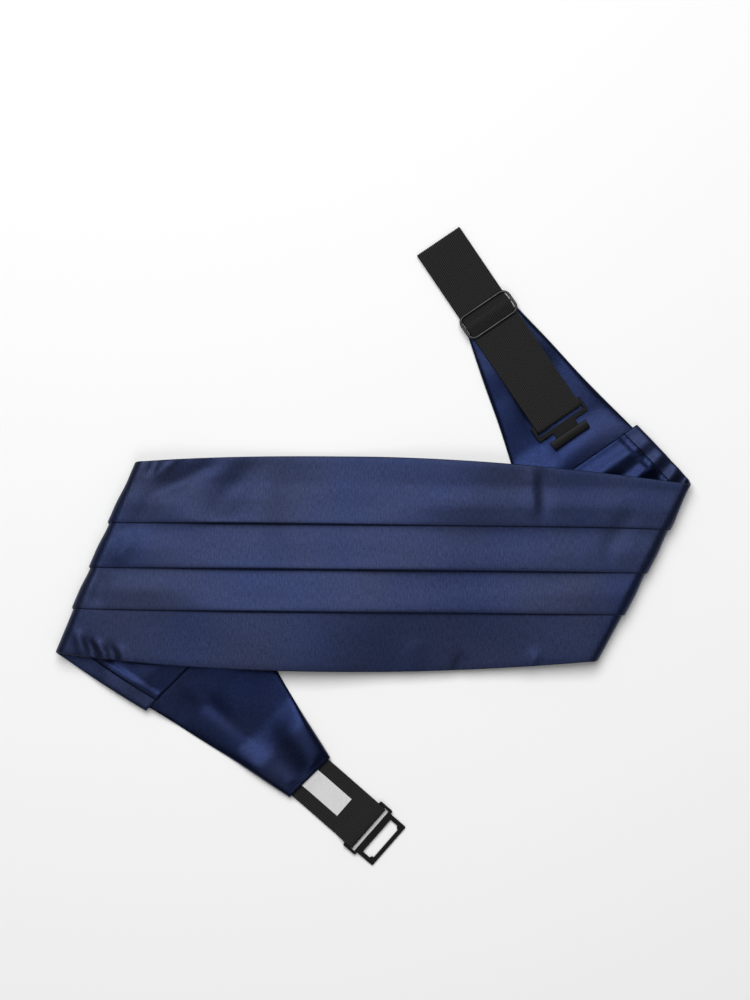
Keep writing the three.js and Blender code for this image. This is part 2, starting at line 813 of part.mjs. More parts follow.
const rightFrame = wingFrame(folds.right);
const rightHeading = rightFrame.heading + radians(ends.right.strapSwing);
const right = rightStrap();
const rightOrigin = rightFrame.tip.clone().addScaledVector(direction(rightHeading), rightTipToFold);
const rightGroup = strapGroup(rightOrigin, rightHeading + Math.PI);
rightGroup.add(mesh("right_elastic", strapGeometry(right.points, elasticPly, elasticWidth), blackElastic));
const sliderMesh = mesh("slider", sliderGeometry(), darkWire);
sliderMesh.position.set(rightFoldToSlider, 0, right.barHeight);
sliderMesh.rotation.y = -Math.atan(right.slope);
rightGroup.add(sliderMesh);
const hookPlate = hookGeometry();
const hookMesh = mesh("hook", hookPlate.geometry, blackFitting);
hookMesh.position.set(right.hookBar, 0, hookBarHeight);
hookMesh.rotation.y = radians(hookDip);
rightGroup.add(hookMesh);

const cummerbund = new THREE.Group();
cummerbund.add(mesh("pleated_shell", bodyPly(shellStops), navySatin));
cummerbund.add(mesh("lining", bodyPly(liningStops), navyLining));
cummerbund.add(mesh("left_wing", wing(folds.left, leftTipRoom), navyLining));
cummerbund.add(mesh("right_wing", wing(folds.right, rightTipRoom), navyLining));
cummerbund.add(leftGroup, rightGroup);

// Set the whole on its origin, the middle of the underside of its box
cummerbund.updateMatrixWorld(true);
const box = new THREE.Box3().setFromObject(cummerbund, true);
const middle = box.getCenter(new THREE.Vector3());
cummerbund.position.set(-middle.x, -middle.y, -box.min.z);

export default cummerbund;
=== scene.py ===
"""A pleated satin cummerbund, lying unfastened with its ends folded back under the front."""

import math

import bmesh
import bpy
import numpy as np
from mathutils import Matrix, Vector


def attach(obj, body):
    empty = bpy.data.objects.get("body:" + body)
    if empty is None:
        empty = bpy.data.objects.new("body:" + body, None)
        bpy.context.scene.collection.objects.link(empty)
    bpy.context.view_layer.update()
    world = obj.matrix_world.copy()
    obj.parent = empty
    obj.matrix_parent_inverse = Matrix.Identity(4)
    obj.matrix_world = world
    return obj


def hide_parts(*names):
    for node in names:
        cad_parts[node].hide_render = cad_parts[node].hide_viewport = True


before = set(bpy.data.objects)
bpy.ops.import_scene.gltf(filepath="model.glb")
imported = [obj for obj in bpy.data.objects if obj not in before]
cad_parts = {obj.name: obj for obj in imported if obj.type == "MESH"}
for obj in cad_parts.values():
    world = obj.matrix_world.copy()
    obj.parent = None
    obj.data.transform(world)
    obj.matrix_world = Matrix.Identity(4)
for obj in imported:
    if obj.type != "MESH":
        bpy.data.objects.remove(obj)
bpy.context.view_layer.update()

bl_info = {
    "name": "Pleated cummerbund",
    "version": (1, 0, 0),
    "blender": (4, 5, 0),
    "location": "View3D > Sidebar > Cummerbund",
    "description": "Makes the cloth, straps and fittings of a pleated cummerbund",
    "category": "Add Mesh",
}

MM = 0.001

# Where the middle of the flat pattern lies in the frame, and the middle of the view, in mm
PATTERN_MIDDLE = (-7.444, -9.924)
VIEW_MIDDLE = (0.56, 27.6)

# The two ends: the fold's place as a share of the half length, its lean and its bend radii, the
# body's taper, and the wing's length and swing, the room at its tip and the strap's swing.
# Lengths are in mm and angles in degrees.
ENDS = {
    "left": dict(sign=-1, fold_at=0.621, lean=22.2, lower=4.6, upper=3.6, power=2.6,
                 wing=95.5, swing=-1.6, room=3.7, strap=4.4),
    "right": dict(sign=1, fold_at=0.665, lean=27.9, lower=4.0, upper=4.6, power=1.8,
                  wing=98.0, swing=-3.5, room=1.6, strap=3.0),
}

# Pleats from the upper one down: the folded edge as a share of the half width, how far it
# gapes, and where along the body, in mm, it starts to gape, is open, starts to close and is closed
PLEATS = [dict(edge=0.365, gape=3.0, open=(-125, -80, -50, 60)),
          dict(edge=-0.055, gape=3.0, open=(-150, -50, 60, 170)),
          dict(edge=-0.448, gape=2.8, open=(-130, -50, 50, 160))]

# Soft folds in the cloth, in the flat pattern in mm and degrees. Heights below zero are hollows,
# and on the ends that lie turned over they are ridges.
FOLD_COLUMNS = ("along", "across", "turn", "length", "width", "height")
FRONT_FOLDS = [
    (-100, 51, 30, 40, 5.0, -1.3),
    (-113, 57, 44, 20, 3.0, 1.2),
    (-121, 58, 66, 14, 2.2, -1.2),
    (-76, 42, 52, 44, 8.0, -1.2),
    (-58, 28, 84, 40, 11.0, 1.0),
    (-126, 30, 66, 24, 5.0, -0.9),
    (-138, 8, 60, 18, 4.0, 0.8),
    (-152, -17, 70, 16, 4.0, -0.7),
    (99, 42, 94, 24, 3.4, 0.7),
    (106, 44, 92, 26, 4.0, -0.9),
    (-163, -48, 104, 14, 2.6, 1.3),
    (-156, -52, 116, 16, 2.0, -1.5),
    (-150, -53, 116, 14, 1.8, 1.4),
    (-144, -55, 110, 13, 1.8, -1.4),
    (-138, -56, 104, 12, 2.2, 1.1),
    (100, -58, 74, 16, 3.6, 1.2),
    (58, -60, 80, 14, 3.4, -1.0),
    (150, 20, 60, 30, 6.0, -0.7),
    (30, -56, 84, 20, 6.0, 0.6),
]
BACK_FOLDS = [
    (231, 12, 90, 70, 5.0, -2.2),
    (217, 24, 82, 46, 4.4, -2.6),
    (204, 33, 72, 36, 4.0, -2.4),
    (192, 40, 62, 24, 3.6, -1.8),
    (-231, -14, 96, 44, 6.0, -0.9),
    (-206, -30, 66, 36, 6.0, -0.9),
]

# Height in mm of the reference face where the ends lie turned over
TURNED_TOP = 3.6


def length(name, default, description):
    return bpy.props.FloatProperty(
        name=name, default=default, description=description, unit="LENGTH", precision=4)


def colour(name, default, description):
    return bpy.props.FloatVectorProperty(
        name=name, default=default, description=description, subtype="COLOR", size=3,
        min=0, max=1)


class CUMMERBUND_PG_cloth(bpy.types.PropertyGroup):
    """Sizes of the cloth, measured flat"""

    half_length: length("Half length", 0.243, "From the middle of the pleated body to a seam")
    half_width: length("Half width", 0.063, "Half the height of the pleated front")
    seam_half_width: length("Seam half width", 0.041, "Half the body's height at a seam")
    hem: length("Hem", 0.012, "Width of satin turned over at the upper and lower edge")
    lap: length("Lining lap", 0.003, "How far the lining reaches over a hem")
    underlap: length("Underlap", 0.010, "Depth of cloth doubled under each pleat")
    ramp: length("Pleat slope", 0.015, "Length over which a strip rises over the next pleat")
    ply: length("Cloth thickness", 0.00045, "Thickness of one ply of satin")
    pitch: length("Layer pitch", 0.0009, "Height from one ply to the next")
    tuck: length("Seam tuck", 0.008, "How far a wing is sewn into the body")
    wing_seam: length("Wing half width", 0.0386, "Half a wing's width at its seam")
    wing_tip: length("Wing tip half width", 0.0168, "Half a wing's width at its tip")
    front_turn: bpy.props.FloatProperty(
        name="Front turn", default=math.radians(-0.6), subtype="ANGLE",
        description="How far the front lies turned from level")


class CUMMERBUND_PG_straps(bpy.types.PropertyGroup):
    """Sizes of the elastic and its fittings"""

    width: length("Elastic width", 0.030, "Width of the elastic")
    thickness: length("Elastic thickness", 0.001, "Thickness of the elastic")
    rib_pitch: length("Rib pitch", 0.00115, "From one lengthwise rib to the next")
    rib_height: length("Rib height", 0.00022, "Height of a rib over its groove")
    tuck: length("Strap tuck", 0.015, "How far the elastic is sewn into a wing")
    left_length: length("Left strap", 0.0406, "From the left wing's tip to the eye")
    tip_to_fold: length("Tip to fold", 0.0554, "From the right wing's tip to the strap's fold")
    fold_to_slider: length("Fold to slider", 0.051, "From the strap's fold to the slider")
    fold_to_hook: length("Fold to hook", 0.1204, "From the strap's fold to the hook's ears")
    clearance: length("Clearance", 0.0003, "Gap between the elastic and what it passes")
    bar: length("Plate thickness", 0.0016, "Thickness of the hook's and the eye's plate")
    wire: length("Wire", 0.0016, "Thickness of the slider's wire")
    label_width: length("Label width", 0.013, "Width of the woven label")
    label_length: length("Label length", 0.027, "Length of the woven label past the wing")


class CUMMERBUND_PG_finish(bpy.types.PropertyGroup):
    """Colours"""

    satin: colour("Satin", (0.0180, 0.0238, 0.0570), "The satin's navy")
    lining: colour("Lining", (0.0085, 0.0132, 0.0405), "The lining's and wings' darker navy")
    elastic: colour("Elastic", (0.016, 0.0155, 0.016), "The elastic's black")
    fitting: colour("Fittings", (0.004, 0.004, 0.0045), "The hook's and the eye's black")
    wire: colour("Wire", (0.045, 0.045, 0.048), "The slider's dark metal")
    label: colour("Label", (0.74, 0.74, 0.75), "The woven label's pale grey")
    floor: colour("Floor", (0.93, 0.93, 0.93), "The pale surface")


def cloth_sizes():
    return bpy.context.scene.cummerbund_cloth


def strap_sizes():
    return bpy.context.scene.cummerbund_straps


def finishes():
    return bpy.context.scene.cummerbund_finish


def take_lengths(holder, group, *names):
    """Copy the named lengths of a property group to the holder, in millimetres."""
    for name in names:
        setattr(holder, name, getattr(group, name) / MM)


def smooth(share):
    x = np.clip(share, 0.0, 1.0)
    return x * x * (3 - 2 * x)


def direction(angle):
    return np.array([math.cos(angle), math.sin(angle)])


def lerp(a, b, share):
    return a + (b - a) * share


# How the flat pattern is laid

class Fold:
    """One slanting fold: its line on the surface and its bend."""

    def __init__(self, end, body):
        lean = math.radians(end["lean"])
        self.end = end
        self.sign = end["sign"]
        self.along = np.array([math.sin(lean), math.cos(lean)])
        self.out = np.array([math.cos(lean), -math.sin(lean)]) * self.sign
        self.start = self.sign * end["fold_at"] * body.half_length
        self.middle = body.along * self.start
        self.mean = (end["lower"] + end["upper"]) / 2
        self.rise = (end["upper"] - end["lower"]) / (2 * body.half_width)

    def radius(self, q):
        return self.mean + self.rise * q


class Body:
    """The pleated body's pattern and how it lies, in millimetres."""

    bend_steps = 26
    front_steps = 140
    end_steps = 34
    carry = 120.0           # how far a folded end holds the front up
    slack = 0.5             # air between the layers and what they lie on
    seam_lift = 2.7         # rise of the cloth at its seams
    seam_level, seam_rise = 17, 26
    pressed, press_run, press_lead = 0.42, 28, 30
    gather_share, gather_power = 0.25, 6
    slow_wave, quick_wave, turned_wave = 0.30, 0.22, 0.25

    def __init__(self):
        sizes = cloth_sizes()
        take_lengths(self, sizes, "half_length", "half_width", "seam_half_width", "hem", "lap",
                     "underlap", "ramp", "ply", "pitch", "tuck", "wing_seam", "wing_tip")
        self.along = direction(sizes.front_turn)
        self.across = direction(sizes.front_turn + math.pi / 2)
        self.top = TURNED_TOP
        self.face = self.top - 2 * self.pitch - self.slack
        self.under = 2 * self.pitch - self.face + self.slack
        self.folds = {name: Fold(end, self) for name, end in ENDS.items()}
        self.carried = [self.carried_edge(fold) for fold in self.folds.values()]

    def power(self, along):
        return np.where(along < 0, ENDS["left"]["power"], ENDS["right"]["power"])

    def edge(self, along):
        share = np.minimum(np.abs(along) / self.half_length, 1)
        drop = 1 - self.seam_half_width / self.half_width
        return self.half_width * (1 - drop * share ** self.power(along))

    def gather(self, along):
        share = np.minimum(np.abs(along) / self.half_length, 1)
        return 1 - self.gather_share * share ** self.gather_power

    def press(self, along, across):
        """How thick the pleats lie: full on the front, pressed flatter round the folds."""
        share = 1.0
        for fold in self.folds.values():
            line = fold.start + math.tan(math.radians(fold.end["lean"])) * across
            near = smooth((fold.sign * (along - line) + self.press_lead) / self.press_run)
            share = share * (1 - self.pressed * near)
        return share

    def lift(self, along):
        start = self.half_length - (self.seam_level + self.seam_rise)
        return self.seam_lift * smooth((np.abs(along) - start) / self.seam_rise)

    def flat(self, along, across):
        return along[..., None] * self.along + across[..., None] * self.across

    def turned(self, fold, along, across):
        place = along * self.along + across * self.across - fold.middle
        q = place @ fold.along
        past = place @ fold.out - math.pi * fold.radius(q)
        return fold.middle + fold.along * q - fold.out * past

    def carried_edge(self, fold):
        lead = -fold.sign
        near = fold.middle + fold.along * lead * self.half_width
        far = self.turned(fold, fold.sign * self.half_length, lead * self.seam_half_width)
        line = (far - near) / np.linalg.norm(far - near)
        free = np.array([-line[1], line[0]])
        return fold, near, free if free @ fold.out < 0 else -free

    def front_height(self, place):
        height = self.under
        for fold, near, free in self.carried:
            top = self.top + 2 * fold.radius((place - fold.middle) @ fold.along)
            height += (top - self.under) * (1 - smooth(((place - near) @ free) / self.carry))
        return height

    def stations(self):
        """Straight lines over the pattern from the left seam to the right one."""
        rows = []

        def bend_row(fold, turn):
            rise = turn * fold.rise
            scale = self.along @ fold.out - rise * (self.along @ fold.along)
            slant = rise * (self.across @ fold.along) - self.across @ fold.out
            return [fold.start + turn * fold.mean / scale, slant / scale, fold.sign, turn]

        def between(first, last, steps, side, turn):
            for i in range(1, steps):
                share = i / steps
                rows.append([lerp(first[0], last[0], share), lerp(first[1], last[1], share),
                             side, turn])

        left, right = self.folds["left"], self.folds["right"]
        turns = [math.pi * i / self.bend_steps for i in range(self.bend_steps + 1)]
        left_rows = [bend_row(left, turn) for turn in reversed(turns)]
        right_rows = [bend_row(right, turn) for turn in turns]
        seam = [-self.half_length, 0, -1, math.pi]
        rows.append(seam)
        between(seam, left_rows[0], self.end_steps, -1, math.pi)
        rows.extend(left_rows)
        between(left_rows[-1], right_rows[0], self.front_steps, 0, 0)
        rows.extend(right_rows)
        last = [self.half_length, 0, 1, math.pi]
        between(right_rows[-1], last, self.end_steps, 1, math.pi)
        rows.append(last)
        return np.array(rows, dtype=float).T

    def place(self, stations, across, above):
        """Points in the frame, in mm, for arrays of points by stations."""
        base, slope, side, turn = stations
        along = base + slope * across
        out = np.zeros(across.shape + (3,))
        flat = self.flat(along, across)
        lower, upper = (
            np.array([self.front_height(self.flat(b + s * edge, np.array(edge)))
                      for b, s in zip(base, slope)])
            for edge in (-self.half_width, self.half_width))
        share = (across / self.half_width + 1) / 2
        out[..., :2] = flat
        out[..., 2] = lower + (upper - lower) * share + above
        for fold in self.folds.values():
            here = side == fold.sign
            local = flat[:, here] - fold.middle
            q = local @ fold.along
            distance = local @ fold.out
            angle = turn[here]
            radius = fold.radius(q)
            reach = radius + above[:, here]
            past = np.where(angle >= math.pi - 1e-9, distance - angle * radius, 0)
            past = np.maximum(past, 0)
            outward = reach * np.sin(angle) - past
            spot = fold.middle + q[..., None] * fold.along + outward[..., None] * fold.out
            out[:, here, :2] = spot
            out[:, here, 2] = self.top + radius + reach * np.cos(angle)
        out[..., 0] += PATTERN_MIDDLE[0]
        out[..., 1] += PATTERN_MIDDLE[1]
        return out

    def front_share(self, along, across):
        """1 on the front, 0 past either fold."""
        place = self.flat(along, across)
        share = np.ones(along.shape)
        for fold in self.folds.values():
            distance = (place - fold.middle) @ fold.out
            share = share * (1 - smooth((distance + 4) / 12))
        return share

    def relief(self, along, across):
        """Soft folds and unevenness, as a height over the smooth cloth."""
        front = self.front_share(along, across)
        bumps = np.zeros(along.shape)
        for table, share in ((FRONT_FOLDS, front), (BACK_FOLDS, 1 - front)):
            for cells in table:
                row = dict(zip(FOLD_COLUMNS, cells))
                turn = math.radians(row["turn"])
                x, y = along - row["along"], across - row["across"]
                lengthwise = x * math.cos(turn) + y * math.sin(turn)
                sideways = y * math.cos(turn) - x * math.sin(turn)
                near = np.exp(-((lengthwise / (row["length"] * 0.55)) ** 4))
                near = near * np.exp(-((sideways / row["width"]) ** 2))
                bumps = bumps + share * row["height"] * near
        slow = np.sin(along * 0.043 + 1.3) * np.cos(across * 0.035 + along * 0.017)
        quick = np.sin(along * 0.096 + across * 0.05 + 0.4)
        quick = quick * np.sin(across * 0.07 - along * 0.021)
        waves = self.slow_wave * slow + self.quick_wave * quick
        return bumps + front * waves - (1 - front) * self.turned_wave * (1 + slow)


ARC = [math.pi * i / 8 for i in range(9)]


class Section:
    """The outline of one ply across the body, as rows that each depend on the place along."""

    def __init__(self, body, stations):
        self.body = body
        self.base, self.slope = stations[0], stations[1]
        self.faces = ([], [])

    def settle(self, across):
        """A row's place across, and where along the pattern it falls at each station."""
        along = self.base
        for _ in range(4):
            here = across(along)
            along = self.base + self.slope * here
        return here, along

    def point(self, across, above, facing):
        here, along = self.settle(across)
        height = above(along)
        half = self.body.ply / 2
        self.faces[0].append((here, height + facing * half))
        self.faces[1].append((here, height - facing * half))

    def turn(self, edge, toward, start, end, facing):
        here, along = self.settle(edge)
        first, last = start(along), end(along)
        middle, spread = (first + last) / 2, np.abs(first - last) / 2
        way = np.sign(first - middle)
        half = self.body.ply / 2
        centre = here - toward * (spread + half)
        for angle in ARC:
            for face, reach in ((0, 1), (1, -1)):
                outside = np.where(way * facing * reach > 0, 1.0, -1.0)
                arm = spread + outside * half
                self.faces[face].append((centre + toward * arm * math.sin(angle),
                                         middle + way * arm * math.cos(angle)))

    def arrays(self):
        return [np.array([[p[i] for p in face] for i in (0, 1)]) for face in self.faces]


# Rows of points over each hem, strip, returned pleat and the lining, and in mm the curl of a
# strip's free edge and the rows' distance from a rounded edge or a crease
HEM_ROWS, STRIP_ROWS, RETURN_ROWS, LINING_ROWS = 5, 22, 4, 56
CURL = 16
EDGE_INSET, HEM_INSET, CREASE_INSET, PLEAT_INSET = 2.2, 1.5, 0.6, 1.2
SHUT_GAP = 0.12
RETURN_SHARE = 0.6


def shell_section(body, stations):
    """Hem, upper edge, three pleats doubled under the strip above them, lower edge, hem."""
    section = Section(body, stations)
    half = body.face
    edge, gather, hem = body.edge, body.gather, body.hem

    def hem_above(a):
        return -body.pitch + half - body.lift(a)

    def flat(a):
        return half + 0 * a

    for i in range(HEM_ROWS):
        back = hem * (1 - i / HEM_ROWS)
        section.point(lambda a, back=back: edge(a) - back - HEM_INSET, hem_above, -1)
    section.turn(edge, 1, hem_above, flat, -1)
    above_edge = edge
    for number, pleat in enumerate(PLEATS):
        def pleat_edge(a, pleat=pleat):
            return pleat["edge"] * body.half_width * gather(a)

        def gape(a, pleat=pleat):
            start, full, closing, closed = pleat["open"]
            window = smooth((a - start) / (full - start))
            window = window * (1 - smooth((a - closing) / (closed - closing)))
            return SHUT_GAP + pleat["gape"] * window * (0.85 + 0.15 * np.sin(a * 0.06))

        def inner(a, pleat_edge=pleat_edge):
            return pleat_edge(a) + body.underlap

        def rise(a, pleat_edge=pleat_edge):
            return body.pitch * body.press(a, pleat_edge(a))

        inset = EDGE_INSET if number == 0 else CREASE_INSET
        for i in range(1, STRIP_ROWS):
            share = i / STRIP_ROWS

            def across(a, share=share, above_edge=above_edge, pleat_edge=pleat_edge,
                       inset=inset):
                start = above_edge(a) - inset
                return start + (pleat_edge(a) + PLEAT_INSET - start) * share

            def above(a, across=across, inner=inner, gape=gape, pleat_edge=pleat_edge,
                      rise=rise):
                here = across(a)
                ramp = body.ramp * gather(a)
                climb = smooth((inner(a) + ramp - here) / ramp)
                curl = smooth((pleat_edge(a) + CURL - here) / CURL)
                return half + 2 * rise(a) * climb + gape(a) * curl
            section.point(across, above, 1)

        def lifted(a, gape=gape, rise=rise):
            return half + 2 * rise(a) + gape(a)

        def returned(a, gape=gape, rise=rise):
            return half + rise(a) + RETURN_SHARE * gape(a)

        section.turn(pleat_edge, -1, lifted, returned, 1)
        for i in range(1, RETURN_ROWS):
            def back(a, i=i, pleat_edge=pleat_edge):
                return pleat_edge(a) + body.underlap * i / RETURN_ROWS

            def settling(a, i=i, gape=gape, rise=rise):
                return half + rise(a) + RETURN_SHARE * gape(a) * (1 - i / RETURN_ROWS)
            section.point(back, settling, -1)
        section.turn(inner, 1, lambda a, rise=rise: half + rise(a), flat, -1)
        above_edge = inner
    for i in range(1, STRIP_ROWS):
        share = i / STRIP_ROWS

        def last(a, share=share, above_edge=above_edge):
            start = above_edge(a) - CREASE_INSET
            return start + (-edge(a) + EDGE_INSET - start) * share
        section.point(last, flat, 1)
    section.turn(lambda a: -edge(a), -1, flat, hem_above, 1)
    for i in range(1, HEM_ROWS + 1):
        back = hem * i / HEM_ROWS
        section.point(lambda a, back=back: -edge(a) + back + HEM_INSET, hem_above, -1)
    return section


def lining_section(body, stations):
    """Flat behind the pleats, stepping over each hem's raw edge."""
    section = Section(body, stations)

    def flat(a):
        return -body.pitch + body.face - body.lift(a)

    for i in range(LINING_ROWS + 1):
        share = 2 * i / LINING_ROWS - 1
        share = math.copysign(abs(share) ** 0.85, share)

        def across(a, share=share):
            return -share * (body.edge(a) - body.hem + body.lap)

        def above(a, across=across):
            inset = body.edge(a) - body.hem - np.abs(across(a))
            return flat(a) - body.pitch * 0.8 * smooth((3 - inset) / 3)
        section.point(across, above, 1)
    return section


def ply_mesh(name, body, stations, section):
    """A closed ply with its pattern's millimetres as a UV map."""
    satin, reverse = section.arrays()
    rings = []
    uvs = []
    middle = (satin + reverse) / 2
    step = np.hypot(np.diff(middle[0], axis=0), np.diff(middle[1], axis=0))
    travelled = np.vstack([np.zeros((1, step.shape[1])), np.cumsum(step, axis=0)])
    for across, above in (satin, reverse):
        along = stations[0] + stations[1] * across
        lifted = above + body.relief(along, across)
        rings.append(body.place(stations, across, lifted))
        uvs.append(np.stack([along, travelled], axis=-1))
    rows, count = satin.shape[1:]
    points = np.concatenate(rings).reshape(-1, 3)
    flat_uv = np.concatenate(uvs).reshape(-1, 2)

    def at(face, row, column):
        return (face * rows + row) * count + column

    faces = []
    for row in range(rows - 1):
        for column in range(count - 1):
            a, b = at(0, row, column), at(0, row, column + 1)
            c, d = at(0, row + 1, column + 1), at(0, row + 1, column)
            faces.append((a, b, c, d))
            shift = rows * count
            faces.append((d + shift, c + shift, b + shift, a + shift))
    sides = [((row, column), (row, column + 1), row > 0)
             for column in range(count - 1) for row in (0, rows - 1)]
    sides += [((row, column), (row + 1, column), column == 0)
              for row in range(rows - 1) for column in (0, count - 1)]
    for start, end, flip in sides:
        quad = (at(0, *start), at(1, *start), at(1, *end), at(0, *end))
        faces.append(quad[::-1] if flip else quad)
    flat_area = float((np.diff((stations[0] + stations[1] * middle[0]), axis=1)[:-1]
                       * step[:, :-1]).sum())
    return mesh_piece(name, points, faces, flat_uv), abs(flat_area), float(travelled[-1].max())


def ring_quads(rings, count):
    """Quads between rings of points, each ring closed."""
    return [(i * count + j, i * count + (j + 1) % count, (i + 1) * count + (j + 1) % count,
             (i + 1) * count + j) for i in range(rings - 1) for j in range(count)]


def linked(name, data):
    """A new object with the data, in the scene's collection."""
    made = bpy.data.objects.new(name, data)
    bpy.context.collection.objects.link(made)
    return made


def mesh_piece(name, points, faces, uv=None):
    """A mesh object from points in millimetres, with its faces turned outwards."""
    mesh = bpy.data.meshes.new(name)
    mesh.from_pydata((np.asarray(points) * MM).tolist(), [], faces)
    if uv is not None:
        layer = mesh.uv_layers.new(name="cloth")
        corners = np.empty(len(mesh.loops), dtype=np.int32)
        mesh.loops.foreach_get("vertex_index", corners)
        layer.data.foreach_set("uv", np.asarray(uv, dtype=np.float32)[corners].ravel() * MM)
    tidy = bmesh.new()
    tidy.from_mesh(mesh)
    bmesh.ops.recalc_face_normals(tidy, faces=tidy.faces)
    tidy.to_mesh(mesh)
    tidy.free()
    mesh.shade_smooth()
    return linked(name, mesh)


def weld(mesh):
    """Merge the points that meet."""
    whole = bmesh.new()
    whole.from_mesh(mesh)
    bmesh.ops.remove_doubles(whole, verts=whole.verts, dist=1e-6)
    whole.to_mesh(mesh)
    whole.free()


def finish_piece(piece, slot, *nodes, look=None):
    """Dress a piece, attach it to the root body, and hide the model's parts that it stands for."""
    piece.data.materials.clear()
    piece.data.materials.append(material(look or slot))
    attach(piece, "root")
    if nodes:
        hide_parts(*nodes)
    return piece


# Straps

class Route:
    """A taut line round pulleys, seen from its side: (distance, height, radius) each,
    where a radius above zero turns left and one below zero turns right."""

    arc = math.radians(9)
    straight = 1.2

    def __init__(self, pulleys, last_turn=None):
        headings = []
        for (x, y, r), (nx, ny, nr) in zip(pulleys, pulleys[1:]):
            reach = math.hypot(nx - x, ny - y)
            headings.append(math.atan2(ny - y, nx - x) - math.asin((nr - r) / reach))
        line = []
        for i, (x, y, r) in enumerate(pulleys):
            enter = headings[max(i - 1, 0)]
            turn = 0 if i == 0 else headings[min(i, len(headings) - 1)] - enter
            if last_turn is not None and i == len(pulleys) - 1:
                turn = last_turn
            elif r > 0:
                turn %= 2 * math.pi
            elif r < 0:
                turn = -((-turn) % (2 * math.pi))
            steps = math.ceil(abs(turn) / self.arc) if r and turn else 0
            for j in range(steps + 1):
                heading = enter + (turn * j / steps if steps else 0)
                line.append((x + r * math.sin(heading), y - r * math.cos(heading)))
        self.points = [line[0]]
        for a, b in zip(line, line[1:]):
            count = max(1, math.ceil(math.dist(a, b) / self.straight))
            self.points += [(lerp(a[0], b[0], i / count), lerp(a[1], b[1], i / count))
                            for i in range(1, count + 1)]
        self.points = self.softened(self.points, 3)

    @staticmethod
    def softened(points, rounds):
        """Corners eased, ends kept."""
        line = np.array(points)
        for _ in range(rounds):
            line[1:-1] = 0.25 * line[:-2] + 0.5 * line[1:-1] + 0.25 * line[2:]
        return [tuple(p) for p in line]

    def frames(self):
        """Each point with its unit normal and the distance travelled."""
        line = np.array(self.points)
        ahead = np.gradient(line, axis=0)
        ahead /= np.linalg.norm(ahead, axis=1)[:, None]
        normal = np.stack([-ahead[:, 1], ahead[:, 0]], axis=1)
        steps = np.linalg.norm(np.diff(line, axis=0), axis=1)
        return line, normal, np.concatenate([[0], np.cumsum(steps)])


# In mm: the wing's tip with the strap in it, how far past it a strap comes down to the surface,
# where it rises to the eye, the label's rise and tuck, and the radii of the strap's turns
WING_TIP = 2
SETTLE, EYE_RISE = 7, 9
LABEL_RISE, LABEL_TUCK = 0.4, 3
LABEL_PLY, LABEL_RIB, LABEL_RIB_HEIGHT = 0.5, 0.9, 0.05
TURN_RADIUS, PRESS_RADIUS = 1.3, 12
BAR_TURN = -250         # degrees that the strap's end goes round the slider's middle bar


